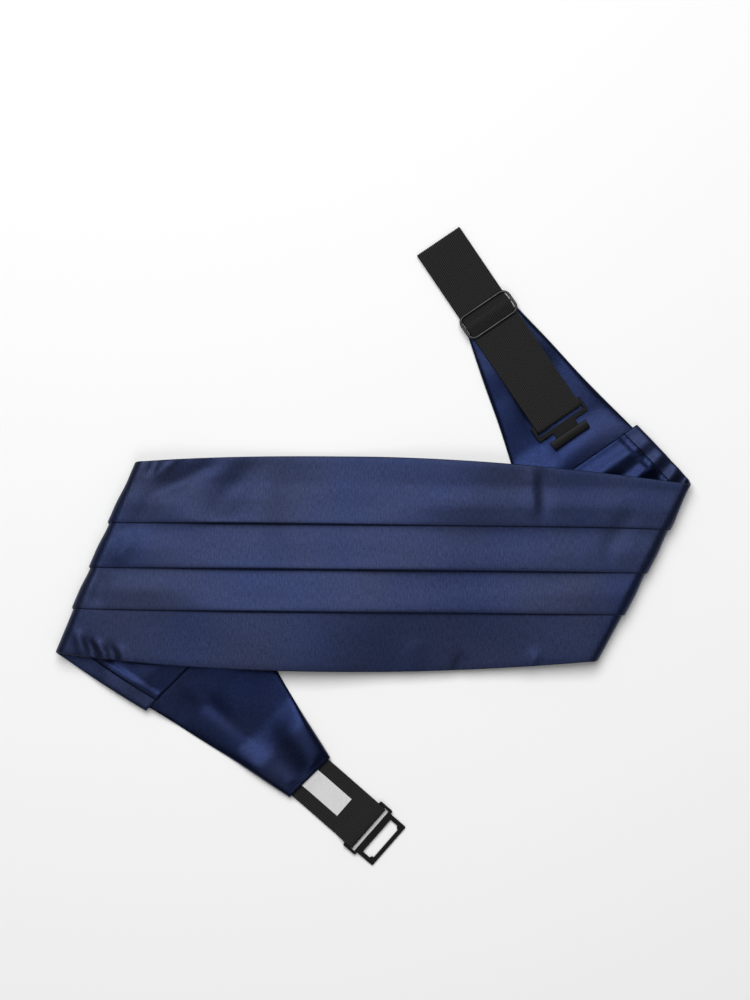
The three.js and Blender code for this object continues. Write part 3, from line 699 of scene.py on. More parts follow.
class StrapPlan:
    """Where each strap starts and heads, and the heights it passes at, in millimetres."""

    def __init__(self, body):
        sizes = strap_sizes()
        take_lengths(self, sizes, "thickness", "clearance", "bar", "wire", "tuck")
        self.ply, self.gap = self.thickness, self.clearance
        self.pitch = self.ply + self.gap
        self.floor = self.ply / 2
        self.pocket = WING_TIP / 2 + self.gap + self.ply / 2
        self.wrap = math.hypot(self.bar / 2, self.bar / 2) + self.gap + self.ply / 2
        self.round_wire = self.wire / 2 + self.gap + self.ply / 2
        self.tips = {name: wing_line(body, fold) for name, fold in body.folds.items()}

    def matrix(self, name):
        """From strap coordinates, along, across and up in mm, to the frame in mm."""
        seam, heading, tip = self.tips[name]
        heading = heading + math.radians(ENDS[name]["strap"])
        origin = tip
        if name == "right":
            origin = tip + direction(heading) * strap_sizes().tip_to_fold / MM
            heading += math.pi
        place = Matrix.Translation((origin[0] + PATTERN_MIDDLE[0],
                                    origin[1] + PATTERN_MIDDLE[1], 0))
        return place @ Matrix.Rotation(heading, 4, "Z")

    def left(self):
        """The left strap's route, the label's route, and the eye's first bar."""
        sizes = strap_sizes()
        bar_at = sizes.left_length / MM + EYE["first_bar"] / 2
        bar_up = self.floor + self.wrap
        reach = EYE["first_bar"] / 2 - self.bar / 2
        strap = Route([
            (-self.tuck, self.pocket, 0), (-self.gap, self.pocket, 0), (SETTLE, self.floor, 0),
            (bar_at + reach, bar_up, self.wrap), (bar_at - reach, bar_up, self.wrap),
            (bar_at - EYE_RISE, self.floor + self.pitch, 0),
            (SETTLE, self.floor + self.pitch, 0), (-self.gap, self.pocket + self.pitch, 0),
            (-self.tuck, self.pocket + self.pitch, 0)])
        rise = self.pitch + self.ply / 2 + LABEL_RISE
        label = Route([(-LABEL_TUCK, self.pocket + rise, 0), (-self.gap, self.pocket + rise, 0),
                       (SETTLE, self.floor + rise, 0),
                       (sizes.label_length / MM, self.floor + rise, 0)])
        return strap, label, (bar_at, bar_up)

    def right(self):
        """The right strap's route, the slider's bar and slope, and the hook's first bar."""
        sizes = strap_sizes()
        tip = sizes.tip_to_fold / MM
        slider = sizes.fold_to_slider / MM
        spread = SLIDER["length"] / 2 - self.wire / 2
        over_tip = WING_TIP + self.ply + 2 * self.gap + self.gap + self.ply / 2
        bar_up = over_tip + self.round_wire
        slope = (self.pitch + self.round_wire + over_tip - bar_up) / spread
        hook = sizes.fold_to_hook / MM + HOOK["first_bar"] / 2
        hook_up = HOOK["rest"] + self.wrap
        strap = Route([
            (tip + self.tuck, self.pocket, 0), (tip + self.gap, self.pocket, 0),
            (tip - SETTLE, self.floor, 0), (0.2, self.floor + TURN_RADIUS, -TURN_RADIUS),
            (slider - spread, bar_up - slope * spread, self.round_wire),
            (slider, bar_up, -(self.round_wire + self.pitch)),
            (slider + spread, bar_up + slope * spread, self.round_wire),
            (hook + HOOK["first_bar"] / 2 - self.bar / 2, hook_up, -self.wrap),
            (tip + self.tuck + PRESS_RADIUS, over_tip - PRESS_RADIUS, PRESS_RADIUS),
            (slider, bar_up, -self.round_wire)], math.radians(BAR_TURN))
        return strap, (slider, bar_up, slope), (hook, hook_up)


EYE = dict(first_bar=4.0, slot=3.6, middle_bar=4.0, ears=34.0, ear_length=9.3, frame=30.0,
           window=7.2, side=2.65, outer_bar=2.5, boss=1.7, corner=0.9, bevel=0.22)
HOOK = dict(first_bar=3.6, slot=3.3, outer_bar=2.6, ears=34.4, neck=15.3, neck_length=3.7,
            bar=24.8, bar_length=4.9, lip=1.3, mouth=1.3, lip_length=3.6, dip=1.0,
            rest=3.4, corner=0.7, bevel=0.2, lip_corner=0.45, bar_bevel=0.25)
SLIDER = dict(width=34.8, length=16.2, corner=4.2)
SLOT_WIDTH, SLOT_CORNER = 30.8, 0.5
RIB_CREASE = 50         # degrees over which an edge of the elastic stays crisp


def wing_line(body, fold):
    """A wing's seam middle, heading and tip on the pattern's own plan."""
    seam = body.turned(fold, fold.sign * body.half_length, 0)
    before = body.turned(fold, fold.sign * (body.half_length - 1), 0)
    run = seam - before
    heading = math.atan2(run[1], run[0]) + math.radians(fold.end["swing"])
    return seam, heading, seam + direction(heading) * fold.end["wing"]


def band_mesh(name, route, width, thickness, rib_pitch, rib_height):
    """A band of even thickness along a route, with lengthwise ribs on both faces."""
    line, normal, travelled = route.frames()
    ribs = max(2, int(round(width / rib_pitch)))
    across, height = [-width / 2], [-0.35 * thickness]
    for i in range(ribs):
        left = -width / 2 + width * (i + 0.12) / ribs
        right = -width / 2 + width * (i + 0.88) / ribs
        for y in (left, left + (right - left) * 0.25, right - (right - left) * 0.25, right):
            across.append(y)
        height += [-rib_height, 0, 0, -rib_height]
    across.append(width / 2)
    height.append(-0.35 * thickness)
    across, height = np.array(across), np.array(height)
    profile = [(y, thickness / 2 + h) for y, h in zip(across, height)]
    profile += [(y, -thickness / 2 - h) for y, h in zip(across[::-1], height[::-1])]
    profile = np.array(profile)
    count = len(profile)
    points = np.zeros((len(line), count, 3))
    points[..., 0] = line[:, None, 0] + normal[:, None, 0] * profile[None, :, 1]
    points[..., 2] = line[:, None, 1] + normal[:, None, 1] * profile[None, :, 1]
    points[..., 1] = profile[None, :, 0]
    faces = ring_quads(len(line), count)
    half = count // 2
    for first in (0, (len(line) - 1) * count):
        last = first + count - 1
        faces += [(first + j, first + j + 1, last - j - 1, last - j) for j in range(half - 1)]
    uv = np.zeros((len(line), count, 2))
    uv[..., 0] = travelled[:, None]
    uv[..., 1] = profile[None, :, 0]
    return points.reshape(-1, 3), faces, uv.reshape(-1, 2), float(travelled[-1])


def moved(points, matrix):
    grid = np.array(matrix)
    return points @ grid[:3, :3].T + grid[:3, 3]


# A wing in mm: its height over the turned end, the level stretch at its tip that holds the
# strap, how it opens and comes down to that, and how it narrows
WING_LIFT, WING_LEVEL, WING_OPENING, WING_DROP = 1.5, 23, 20, 24
WING_TAPER = 0.96


def wing_mesh(body, name, room):
    """Two plies sewn along both edges, open at the seam and at the tip."""
    fold = body.folds[name]
    seam, heading, _ = wing_line(body, fold)
    forward, sideways = direction(heading), direction(heading + math.pi / 2)
    length = fold.end["wing"]
    steps, columns = 74, 44
    seam_up = body.top + WING_LIFT
    rings = {1: [], -1: []}
    for i in range(steps + 1):
        away = lerp(-body.tuck, length, i / steps)
        share = max(away, 0) / length
        opened = float(smooth((away - (length - WING_LEVEL) + WING_OPENING) / WING_OPENING))
        gap = lerp(0.7, room + 0.5, opened)
        thick = gap + 2 * body.ply
        outer_thick = lerp(2.4, room + 2, opened)
        width = lerp(body.wing_seam, body.wing_tip, share ** WING_TAPER)
        width += math.sin(away * 0.09 + fold.sign) * share * (1 - share)
        up = lerp(seam_up, outer_thick / 2, float(smooth(away / WING_DROP)))
        place = seam + forward * away
        for side in (1, -1):
            tall = thick / 2 if side > 0 else gap / 2
            reach = width if side > 0 else width - body.ply
            ring = []
            for j in range(columns * 2):
                top = j < columns
                share_across = (j % columns) / (columns - 1)
                y = math.cos(math.pi * share_across) * (1 if top else -1)
                y = math.copysign(abs(y) ** 0.8, y)
                rim = (1 - abs(y) ** 14) ** 0.5
                puff = wing_puff(away, y, length, fold.sign) if top else 0
                z = (tall + puff) * rim if top else -tall * rim
                across = y * reach
                spot = place + sideways * across
                ring.append((spot[0] + PATTERN_MIDDLE[0], spot[1] + PATTERN_MIDDLE[1], up + z,
                             away, across))
            rings[side].append(ring)
    count = columns * 2
    points = [p for side in (1, -1) for ring in rings[side] for p in ring]
    inner = (steps + 1) * count
    faces = []
    for quad in ring_quads(steps + 1, count):
        faces += [quad, tuple(v + inner for v in reversed(quad))]
    for ring in (0, steps):
        for j in range(count):
            k = (j + 1) % count
            a, b = ring * count + j, ring * count + k
            faces.append((a, b, b + inner, a + inner) if ring else (b, a, a + inner, b + inner))
    grid = np.array(points)
    return grid[:, :3], faces, grid[:, 3:], length


def wing_puff(away, y, length, sign):
    """A wing's upper ply, uneven: pulls from the tip and the seam, and long waves."""
    share = away / length
    fan = math.sin(y * 5.2 + sign * 0.8) * 0.6 * smooth((share - 0.35) / 0.5)
    pull = -0.9 * math.exp(-((y - 0.35 * sign) / 0.16) ** 2)
    pull = pull * math.exp(-((share - 0.25) / 0.3) ** 2)
    wave = 0.55 * math.sin(away * 0.085 + 2.6 * y + sign)
    calm = float(smooth((away + 2) / 14) * (1 - smooth((share - 0.93) / 0.07)))
    return float(max((1.1 + fan + pull + wave) * calm, 0.0))


# Fittings

PLATE_CREASE = 14       # degrees over which a plate's edge stays crisp


def rounded(corners, radius, steps=4):
    """A closed outline with each corner turned into a short arc."""
    outline = []
    count = len(corners)
    for i, corner in enumerate(corners):
        here = Vector(corner)
        before = (Vector(corners[i - 1]) - here)
        after = (Vector(corners[(i + 1) % count]) - here)
        reach = min(radius, before.length / 2.01, after.length / 2.01)
        start, end = here + before.normalized() * reach, here + after.normalized() * reach
        for j in range(steps + 1):
            share = j / steps
            outline.append(start.lerp(here, share).lerp(here.lerp(end, share), share))
    return outline


def cut_plate(outlines, thickness, bevel):
    """A bevelled plate's mesh, from an outline and its holes, in millimetres."""
    curve = bpy.data.curves.new("plate", "CURVE")
    curve.dimensions = "2D"
    curve.fill_mode = "BOTH"
    curve.extrude = thickness / 2 - bevel
    curve.bevel_depth = bevel
    curve.bevel_resolution = 2
    curve.offset = -bevel
    for outline in outlines:
        spline = curve.splines.new("POLY")
        spline.points.add(len(outline) - 1)
        for point, place in zip(spline.points, outline):
            point.co = (place[0], place[1], 0, 1)
        spline.use_cyclic_u = True
    holder = linked("plate", curve)
    mesh = bpy.data.meshes.new_from_object(
        holder.evaluated_get(bpy.context.evaluated_depsgraph_get()))
    bpy.data.objects.remove(holder)
    bpy.data.curves.remove(curve)
    return mesh


def joined(name, parts):
    """One object from (mesh, matrix) pairs in millimetres, with merged seams."""
    whole = bmesh.new()
    for mesh, matrix in parts:
        piece = bmesh.new()
        piece.from_mesh(mesh)
        bmesh.ops.remove_doubles(piece, verts=piece.verts, dist=1e-4)
        bmesh.ops.recalc_face_normals(piece, faces=piece.faces)
        bmesh.ops.transform(piece, matrix=matrix, verts=piece.verts)
        part = bpy.data.meshes.new("part")
        piece.to_mesh(part)
        piece.free()
        whole.from_mesh(part)
        bpy.data.meshes.remove(part)
    bmesh.ops.scale(whole, vec=(MM, MM, MM), verts=whole.verts)
    mesh = bpy.data.meshes.new(name)
    whole.to_mesh(mesh)
    whole.free()
    mesh.shade_smooth()
    mesh.set_sharp_from_angle(angle=math.radians(PLATE_CREASE))
    return linked(name, mesh)


def box_outline(x0, x1, half, radius):
    return rounded([(x0, -half), (x1, -half), (x1, half), (x0, half)], radius)


def eye_plate():
    """Ears round a slot for the elastic, and a frame whose window takes the hook."""
    start = -EYE["first_bar"] / 2
    slot_end = -start + EYE["slot"]
    window = slot_end + EYE["middle_bar"]
    window_end = window + EYE["window"]
    end = window_end + EYE["outer_bar"]
    ears, half = EYE["ears"] / 2, EYE["frame"] / 2
    neck = start + EYE["ear_length"]
    outline = rounded([(start, -ears), (neck, -ears), (neck, -half), (end, -half), (end, half),
                       (neck, half), (neck, ears), (start, ears)], EYE["corner"])
    side, cut, boss = half - EYE["side"], window_end - EYE["boss"], EYE["boss"]
    opening = [(window, -side), (cut, -side)]
    opening += [(window_end - boss * math.cos(a), -side + boss * math.sin(a))
                for a in np.linspace(0.2, math.pi / 2, 6)]
    opening += [(x, -y) for x, y in reversed(opening)]
    slot = box_outline(-start, slot_end, SLOT_WIDTH / 2, SLOT_CORNER)
    return cut_plate([outline, slot, opening], strap_sizes().bar / MM, EYE["bevel"]), end


def hook_plate():
    """Ears round a slot, a neck, and a crossbar turned back over itself into a lip."""
    bar = strap_sizes().bar / MM
    start = -HOOK["first_bar"] / 2
    slot_end = -start + HOOK["slot"]
    ear_end = slot_end + HOOK["outer_bar"]
    neck_end = ear_end + HOOK["neck_length"]
    end = neck_end + HOOK["bar_length"]
    ears, neck = HOOK["ears"] / 2, HOOK["neck"] / 2
    outline = rounded([(start, -ears), (ear_end, -ears), (ear_end, -neck),
                       (neck_end + 1, -neck), (neck_end + 1, neck), (ear_end, neck),
                       (ear_end, ears), (start, ears)], HOOK["corner"])
    slot = box_outline(-start, slot_end, SLOT_WIDTH / 2, SLOT_CORNER)
    flat = cut_plate([outline, slot], bar, HOOK["bevel"])
    low = -bar / 2
    floor = low + HOOK["lip"]
    roof = floor + HOOK["mouth"]
    top, wall = roof + HOOK["lip"], end - HOOK["lip"]
    lip = wall - HOOK["lip_length"]
    profile = rounded([(neck_end, low), (end, low), (end, top), (lip, top), (lip, roof),
                       (wall, roof), (wall, floor), (neck_end, floor)],
                      HOOK["lip_corner"], 3)
    return flat, cut_plate([profile], HOOK["bar"], HOOK["bar_bevel"])


# Geometry node trees

class Tree:
    """Builds a geometry node tree with named lengths and a material as its inputs."""

    def __init__(self, name, lengths):
        self.tree = bpy.data.node_groups.new(name, "GeometryNodeTree")
        face = self.tree.interface
        face.new_socket("Geometry", in_out="INPUT", socket_type="NodeSocketGeometry")
        for label, value in lengths.items():
            socket = face.new_socket(label, in_out="INPUT", socket_type="NodeSocketFloat")
            socket.default_value = value
        face.new_socket("Material", in_out="INPUT", socket_type="NodeSocketMaterial")
        face.new_socket("Geometry", in_out="OUTPUT", socket_type="NodeSocketGeometry")
        self.inputs = self.tree.nodes.new("NodeGroupInput").outputs
        self.result = self.tree.nodes.new("NodeGroupOutput").inputs["Geometry"]

    def node(self, kind, values=None, **settings):
        made = self.tree.nodes.new(kind)
        for key, value in settings.items():
            setattr(made, key, value)
        for key, value in (values or {}).items():
            socket = made.inputs[key]
            if isinstance(value, bpy.types.NodeSocket):
                self.tree.links.new(value, socket)
            else:
                socket.default_value = value
        return made.outputs

    def maths(self, operation, first, second):
        return self.node("ShaderNodeMath", {0: first, 1: second}, operation=operation)["Value"]

    def end(self, geometry, material):
        real = self.node("GeometryNodeRealizeInstances", {"Geometry": geometry})
        dressed = self.node("GeometryNodeSetMaterial",
                            {"Geometry": real["Geometry"], "Material": material})
        self.tree.links.new(dressed["Geometry"], self.result)


def grown(piece, tree, values):
    """Run a tree on a piece and keep the result as its plain mesh."""
    modifier = piece.modifiers.new("grow", "NODES")
    modifier.node_group = tree
    for item in tree.interface.items_tree:
        if item.in_out == "INPUT" and item.name in values:
            modifier[item.identifier] = values[item.name]
    graph = bpy.context.evaluated_depsgraph_get()
    mesh = bpy.data.meshes.new_from_object(piece.evaluated_get(graph))
    piece.modifiers.remove(modifier)
    piece.data = mesh
    mesh.shade_smooth()
    return piece


def slider_tree():
    """One closed wire with round corners, and its middle bar."""
    tree = Tree("slider_wire", {"Width": 0.0348, "Length": 0.0162, "Wire": 0.0016,
                                "Corner": 0.003})
    across = tree.maths("SUBTRACT", tree.inputs["Width"], tree.inputs["Wire"])
    along = tree.maths("SUBTRACT", tree.inputs["Length"], tree.inputs["Wire"])
    half = tree.maths("MULTIPLY", tree.inputs["Wire"], 0.5)
    frame_line = tree.node("GeometryNodeCurvePrimitiveQuadrilateral",
                           {"Width": along, "Height": across})["Curve"]
    soft = tree.node("GeometryNodeFilletCurve", {"Curve": frame_line, "Count": 8,
                                                 "Radius": tree.inputs["Corner"]},
                     mode="POLY")["Curve"]
    ends = {label: tree.node("ShaderNodeCombineXYZ",
                             {"Y": tree.maths("MULTIPLY", across, side)})["Vector"]
            for label, side in (("Start", -0.5), ("End", 0.5))}
    bar = tree.node("GeometryNodeCurvePrimitiveLine", ends)["Curve"]
    ring = tree.node("GeometryNodeCurvePrimitiveCircle",
                     {"Resolution": 16, "Radius": half})["Curve"]
    both = tree.node("GeometryNodeJoinGeometry")
    for line in (soft, bar):
        wire = tree.node("GeometryNodeCurveToMesh", {"Curve": line, "Profile Curve": ring,
                                                     "Fill Caps": True})["Mesh"]
        tree.tree.links.new(wire, both["Geometry"].node.inputs["Geometry"])
    tree.end(both["Geometry"], tree.inputs["Material"])
    return tree.tree


def stitch_tree():
    """Short round stitches along every line of the input mesh."""
    tree = Tree("stitches", {"Pitch": 0.0028, "Stitch": 0.002, "Thread": 0.0003})
    line = tree.node("GeometryNodeMeshToCurve", {"Mesh": tree.inputs["Geometry"]})["Curve"]
    points = tree.node("GeometryNodeCurveToPoints",
                       {"Curve": line, "Length": tree.inputs["Pitch"]}, mode="LENGTH")
    half = tree.maths("MULTIPLY", tree.inputs["Stitch"], 0.5)
    size = tree.node("ShaderNodeCombineXYZ", {"X": tree.inputs["Thread"],
                                              "Y": tree.inputs["Thread"], "Z": half})
    ball = tree.node("GeometryNodeMeshUVSphere",
                     {"Segments": 6, "Rings": 5, "Radius": 1.0})["Mesh"]
    turned = tree.node("FunctionNodeAlignRotationToVector", {"Vector": points["Tangent"]},
                       axis="Z")
    placed = tree.node("GeometryNodeInstanceOnPoints", {
        "Points": points["Points"], "Instance": ball, "Rotation": turned["Rotation"],
        "Scale": size["Vector"]})["Instances"]
    tree.end(placed, tree.inputs["Material"])
    return tree.tree


# The lining's seam in mm: its distance from the edge, and its stitches
SEAM = dict(inset=1.2, pitch=3.0, stitch=2.1, thread=0.28)


def stitched(name, lines, pitch, stitch, thread, material):
    """Stitches along polylines given in millimetres."""
    points, edges = [], []
    for line in lines:
        first = len(points)
        points += [tuple(c * MM for c in p) for p in line]
        edges += [(first + i, first + i + 1) for i in range(len(line) - 1)]
    mesh = bpy.data.meshes.new(name)
    mesh.from_pydata(points, edges, [])
    return grown(linked(name, mesh), stitch_tree(),
                 {"Pitch": pitch * MM, "Stitch": stitch * MM, "Thread": thread * MM,
                  "Material": material})


# Materials

class Value:
    """A shader socket that takes part in sums."""

    def __init__(self, shader, socket):
        self.shader = shader
        self.socket = socket

    def maths(self, operation, *others, swap=False):
        operands = [self, *others]
        if swap:
            operands.reverse()
        return self.shader.node("ShaderNodeMath", dict(enumerate(operands)),
                                operation=operation)["Value"]

    def __add__(self, other):
        return self.maths("ADD", other)

    def __sub__(self, other):
        return self.maths("SUBTRACT", other)

    def __mul__(self, other):
        return self.maths("MULTIPLY", other)

    def __radd__(self, other):
        return self.maths("ADD", other, swap=True)

    def __rsub__(self, other):
        return self.maths("SUBTRACT", other, swap=True)

    def __rmul__(self, other):
        return self.maths("MULTIPLY", other, swap=True)

    def power(self, other):
        return self.maths("POWER", other)

    def sine(self):
        return self.maths("SINE")


class Shader:
    """A material and one way of adding nodes to it."""

    def __init__(self, name, color, roughness, **constants):
        self.material = bpy.data.materials.new(name)
        self.material.use_nodes = True
        self.tree = self.material.node_tree
        self.surface = self.tree.nodes["Principled BSDF"]
        self.surface.inputs["Base Color"].default_value = (*color, 1)
        self.surface.inputs["Roughness"].default_value = roughness
        for key, value in constants.items():
            self.surface.inputs[key.replace("_", " ")].default_value = value

    def node(self, kind, values=None, **settings):
        made = self.tree.nodes.new(kind)
        for key, value in settings.items():
            setattr(made, key, value)
        for key, value in (values or {}).items():
            self.feed(made.inputs[key], value)
        return {out.name: Value(self, out) for out in made.outputs if out.enabled}

    def feed(self, socket, value):
        if isinstance(value, Value):
            self.tree.links.new(value.socket, socket)
        else:
            socket.default_value = value

    def uv(self):
        """The cloth's own millimetres, along and across."""
        spot = self.node("ShaderNodeUVMap", uv_map="cloth")["UV"]
        parts = self.node("ShaderNodeSeparateXYZ", {"Vector": spot})
        return parts["X"] * 1000.0, parts["Y"] * 1000.0

    def place(self, x, y):
        return self.node("ShaderNodeCombineXYZ", {"X": x, "Y": y})["Vector"]

    def noise(self, vector, scale, detail=2.0, roughness=0.5):
        return self.node("ShaderNodeTexNoise", {"Vector": vector, "Scale": scale,
                                                "Detail": detail,
                                                "Roughness": roughness})["Fac"]

    def between(self, share, first, second):
        mixed = self.tree.nodes.new("ShaderNodeMix")
        mixed.data_type = "RGBA"
        self.feed(mixed.inputs["Factor"], share)
        for name, value in (("A", first), ("B", second)):
            socket = [s for s in mixed.inputs if s.name == name and s.type == "RGBA"][0]
            self.feed(socket, value if isinstance(value, Value) else (*value, 1))
        out = [s for s in mixed.outputs if s.type == "RGBA"][0]
        return Value(self, out)

    def times(self, first, second):
        return self.node("ShaderNodeVectorMath", {0: first, 1: second},
                         operation="MULTIPLY")["Vector"]

    def colour(self, value):
        self.feed(self.surface.inputs["Base Color"], value)

    def rough(self, value):
        self.feed(self.surface.inputs["Roughness"], value)

    def bump(self, height, distance, strength=1.0):
        out = self.node("ShaderNodeBump", {"Height": height, "Distance": distance,
                                           "Strength": strength})["Normal"]
        self.feed(self.surface.inputs["Normal"], out)


def shade(color, factor):
    return tuple(min(c * factor, 1.0) for c in color)


def satin_material(name, color, depth, gloss):
    """Satin: fine ribs of weft, slow shifts of tone, and slubs that run across the cloth."""
    shader = Shader(name, color, gloss, Specular_IOR_Level=0.04, Metallic=0.8)
    along, across = shader.uv()
    slow = shader.noise(shader.place(along * 0.018, across * 0.012), 1.0, 2.0)
    slub = shader.noise(shader.place(along * 1.2, across * 0.28), 1.0, 3.0, 0.65)
    grain = shader.noise(shader.place(along * 1.5, across * 1.1), 1.0, 2.0)
    warp = (along * (2 * math.pi / 0.62)).sine()
    weft = (across * (2 * math.pi / 0.5)).sine()
    greyer = tuple(lerp(c, sum(color) / 3, 0.16) for c in color)
    bluer = (color[0] * 0.9, color[1], color[2] * 1.1)
    tone = shader.between((slow - 0.35) * 2.6, bluer, greyer)
    light = slub * 1.2 + grain * 0.9 - 0.05
    dark = shader.between(light * 0.5, shade(color, 0.0), (1, 1, 1))
    shader.colour(shader.times(shader.times(tone, dark), (2, 2, 2)))
    shader.rough(gloss - 0.05 + grain * 0.1)
    shader.bump(warp * 0.5 + weft * 0.3 + slub * 1.1, depth)
    return shader.material


def elastic_material(color, rib_pitch):
    """Woven elastic: matt black, with a fine weave, a lighter and darker grain, and painted shade
    that lightens and darkens the colour with each rib.
    """
    shader = Shader("elastic_weave", color, 0.72, Specular_IOR_Level=0.06)
    along, across = shader.uv()
    weave = (along * (2 * math.pi / 0.7)).sine()
    grain = shader.noise(shader.place(along * 0.9, across * 1.8), 1.0, 3.0)
    # painted rib shade: the colour turns lighter and darker with each rib across the band
    rib = (across * (2 * math.pi / rib_pitch) + math.pi).sine()
    # the colour mixes the grain with the painted rib shade
    shader.colour(shader.between(grain + rib * 0.4, shade(color, 0.4), shade(color, 2.1)))
    shader.rough(0.66 + grain * 0.16)
    shader.bump(weave * 0.6 + grain, 0.00008)
    return shader.material


def label_material(color):
    """Woven ribbon: close ribs across, faint threads along."""
    shader = Shader("label_weave", color, 0.7, Specular_IOR_Level=0.3, Sheen_Weight=0.15)
    along, across = shader.uv()
    rib = (across * (2 * math.pi / 0.55)).sine()
    thread = (along * (2 * math.pi / 0.4)).sine()
    grain = shader.noise(shader.place(along * 2.0, across * 0.5), 1.0, 2.0)
    shader.colour(shader.between(grain, shade(color, 0.88), shade(color, 1.08)))
    shader.bump(rib + thread * 0.5 + grain, 0.00005)
    return shader.material


def hard_material(name, color, roughness, level, scale, **constants):
    """Painted or plated metal with fine scuffs and uneven gloss, on object coordinates."""
    shader = Shader(name, color, roughness, Specular_IOR_Level=level, **constants)
    spot = shader.node("ShaderNodeTexCoord")["Object"]
    cloud = shader.noise(spot, scale, 3.0)
    scuff = shader.noise(spot, scale * 6, 4.0, 0.7)
    shader.colour(shader.between(scuff.power(3.0), shade(color, 0.8), shade(color, 2.6)))
    shader.rough(roughness - 0.08 + cloud * 0.16)
    shader.bump(scuff, 0.000008)
    return shader.material


def thread_material(name, color):
    shader = Shader(name, color, 0.7, Specular_IOR_Level=0.1, Sheen_Weight=0.05)
    spot = shader.node("ShaderNodeTexCoord")["Object"]
    shader.colour(shader.between(shader.noise(spot, 2500.0, 2.0), shade(color, 0.3),
                                 shade(color, 0.8)))
    return shader.material


def floor_material(color):
    shader = Shader("pale_surface", color, 0.75, Specular_IOR_Level=0.2)
    spot = shader.node("ShaderNodeTexCoord")["Object"]
    shader.colour(shader.between(shader.noise(spot, 3.0, 2.0), shade(color, 0.995), color))
    return shader.material


# Building each group of pieces

class Build:
    """What the operators share: the body's plan, its stations and the straps' plan."""

    def __init__(self):
        self.body = Body()
        self.stations = self.body.stations()
        self.plan = StrapPlan(self.body)

    def thread_lines(self, edges, above, facing):
        """Lines along the body at the given places across, on the satin's outer face."""
        lines = []
        for edge in edges:
            base, slope = self.stations[0], self.stations[1]
            along = base
            for _ in range(4):
                along = base + slope * edge(along)
            across = edge(along)[None, :]
            height = above(along)[None, :] + self.body.relief(along[None, :], across)
            height = height + facing * (self.body.ply / 2)
            lines.append(self.body.place(self.stations, across, height)[0])
        return lines


def material(name):
    """The named finish, made once."""
    found = bpy.data.materials.get(f"{name}_look")
    if found:
        return found
    look = finishes()
    makers = {
        "navy_satin": lambda: satin_material(name, look.satin, depth=0.000026, gloss=0.43),
        "navy_lining": lambda: satin_material(name, look.lining, depth=0.000016, gloss=0.33),
        "black_elastic": lambda: elastic_material(look.elastic, strap_sizes().rib_pitch / MM),
        "black_fitting": lambda: hard_material(name, look.fitting, 0.34, level=0.10,
                                               scale=300.0),
        "dark_wire": lambda: hard_material(name, look.wire, 0.44, level=0.5, scale=30.0,
                                           Metallic=1.0),
        "pale_weave": lambda: label_material(look.label),
        "navy_thread": lambda: thread_material(name, look.lining),
        "pale_surface": lambda: floor_material(look.floor),
    }
    made = makers[name]()
    made.name = f"{name}_look"
    return made


class CummerbundStep:
    """Shared settings of the operators"""

    bl_options = {"REGISTER", "UNDO"}


class CUMMERBUND_OT_shell(CummerbundStep, bpy.types.Operator):
    """Lay the pleated satin, folded back at both ends"""

    bl_idname = "cummerbund.shell"
    bl_label = "Pleated satin"

    def execute(self, context):
        build = Build()
        piece, area, girth = ply_mesh("satin_shell", build.body, build.stations,
                                      shell_section(build.body, build.stations))
        finish_piece(piece, "navy_satin", "pleated_shell")
        girth * MM
        area * MM * MM
        return {"FINISHED"}


class CUMMERBUND_OT_lining(CummerbundStep, bpy.types.Operator):
    """Lay the plain lining behind the pleats"""

    bl_idname = "cummerbund.lining"
    bl_label = "Lining"

    def execute(self, context):
        build = Build()
        body = build.body
        piece, area, girth = ply_mesh("lining_cloth", body, build.stations,
                                      lining_section(body, build.stations))
        finish_piece(piece, "navy_lining", "lining")
        lines = build.thread_lines(
            [lambda a, s=s: s * (body.edge(a) - body.hem + body.lap - SEAM["inset"])
             for s in (1, -1)],
            lambda a: -1.8 * body.pitch + body.face - body.lift(a), -1)
        thread = stitched("lining_stitches", lines, SEAM["pitch"], SEAM["stitch"],
                          SEAM["thread"], material("navy_thread"))
        finish_piece(thread, "navy_lining", look="navy_thread")
        girth * MM
        area * MM * MM
        return {"FINISHED"}


class CUMMERBUND_OT_wings(CummerbundStep, bpy.types.Operator):
    """Sew the two tapered backs into the ends"""

    bl_idname = "cummerbund.wings"
    bl_label = "Wings"

    def execute(self, context):
        build = Build()
        body = build.body
        for name, end in ENDS.items():
            points, faces, uv, length = wing_mesh(body, name, end["room"])
            piece = mesh_piece(f"{name}_wing_cloth", points, faces, uv)
            weld(piece.data)
            finish_piece(piece, "navy_lining", f"{name}_wing")
            area = (length + body.tuck) * 2 * (body.wing_seam + body.wing_tip)
            (length + body.tuck) * MM
            area * MM * MM
        return {"FINISHED"}


def strap_band(name, route, matrix, width, thickness, pitch, height, finish, node):
    points, faces, uv, length = band_mesh(name, route, width, thickness, pitch, height)
    piece = mesh_piece(name, moved(points, matrix), faces, uv)
    piece.data.set_sharp_from_angle(angle=math.radians(RIB_CREASE))
    finish_piece(piece, finish, node)
    return piece, length


class CUMMERBUND_OT_straps(CummerbundStep, bpy.types.Operator):
    """Run the elastic from each wing's tip, with the woven label on it"""

    bl_idname = "cummerbund.straps"
    bl_label = "Straps"

    def execute(self, context):
        plan = StrapPlan(Body())
        sizes = strap_sizes()
        width, ply = sizes.width / MM, sizes.thickness / MM
        pitch, height = sizes.rib_pitch / MM, sizes.rib_height / MM
        left, label, _ = plan.left()
        for name, route in (("left", left), ("right", plan.right()[0])):
            piece, length = strap_band(f"{name}_elastic_band", route, plan.matrix(name), width,
                                       ply, pitch, height, "black_elastic", f"{name}_elastic")
            length * MM
        tab, length = strap_band("label_tab", label, plan.matrix("left"),
                                 sizes.label_width / MM, LABEL_PLY, LABEL_RIB, LABEL_RIB_HEIGHT,
                                 "pale_weave", "label")
        length * MM
        return {"FINISHED"}


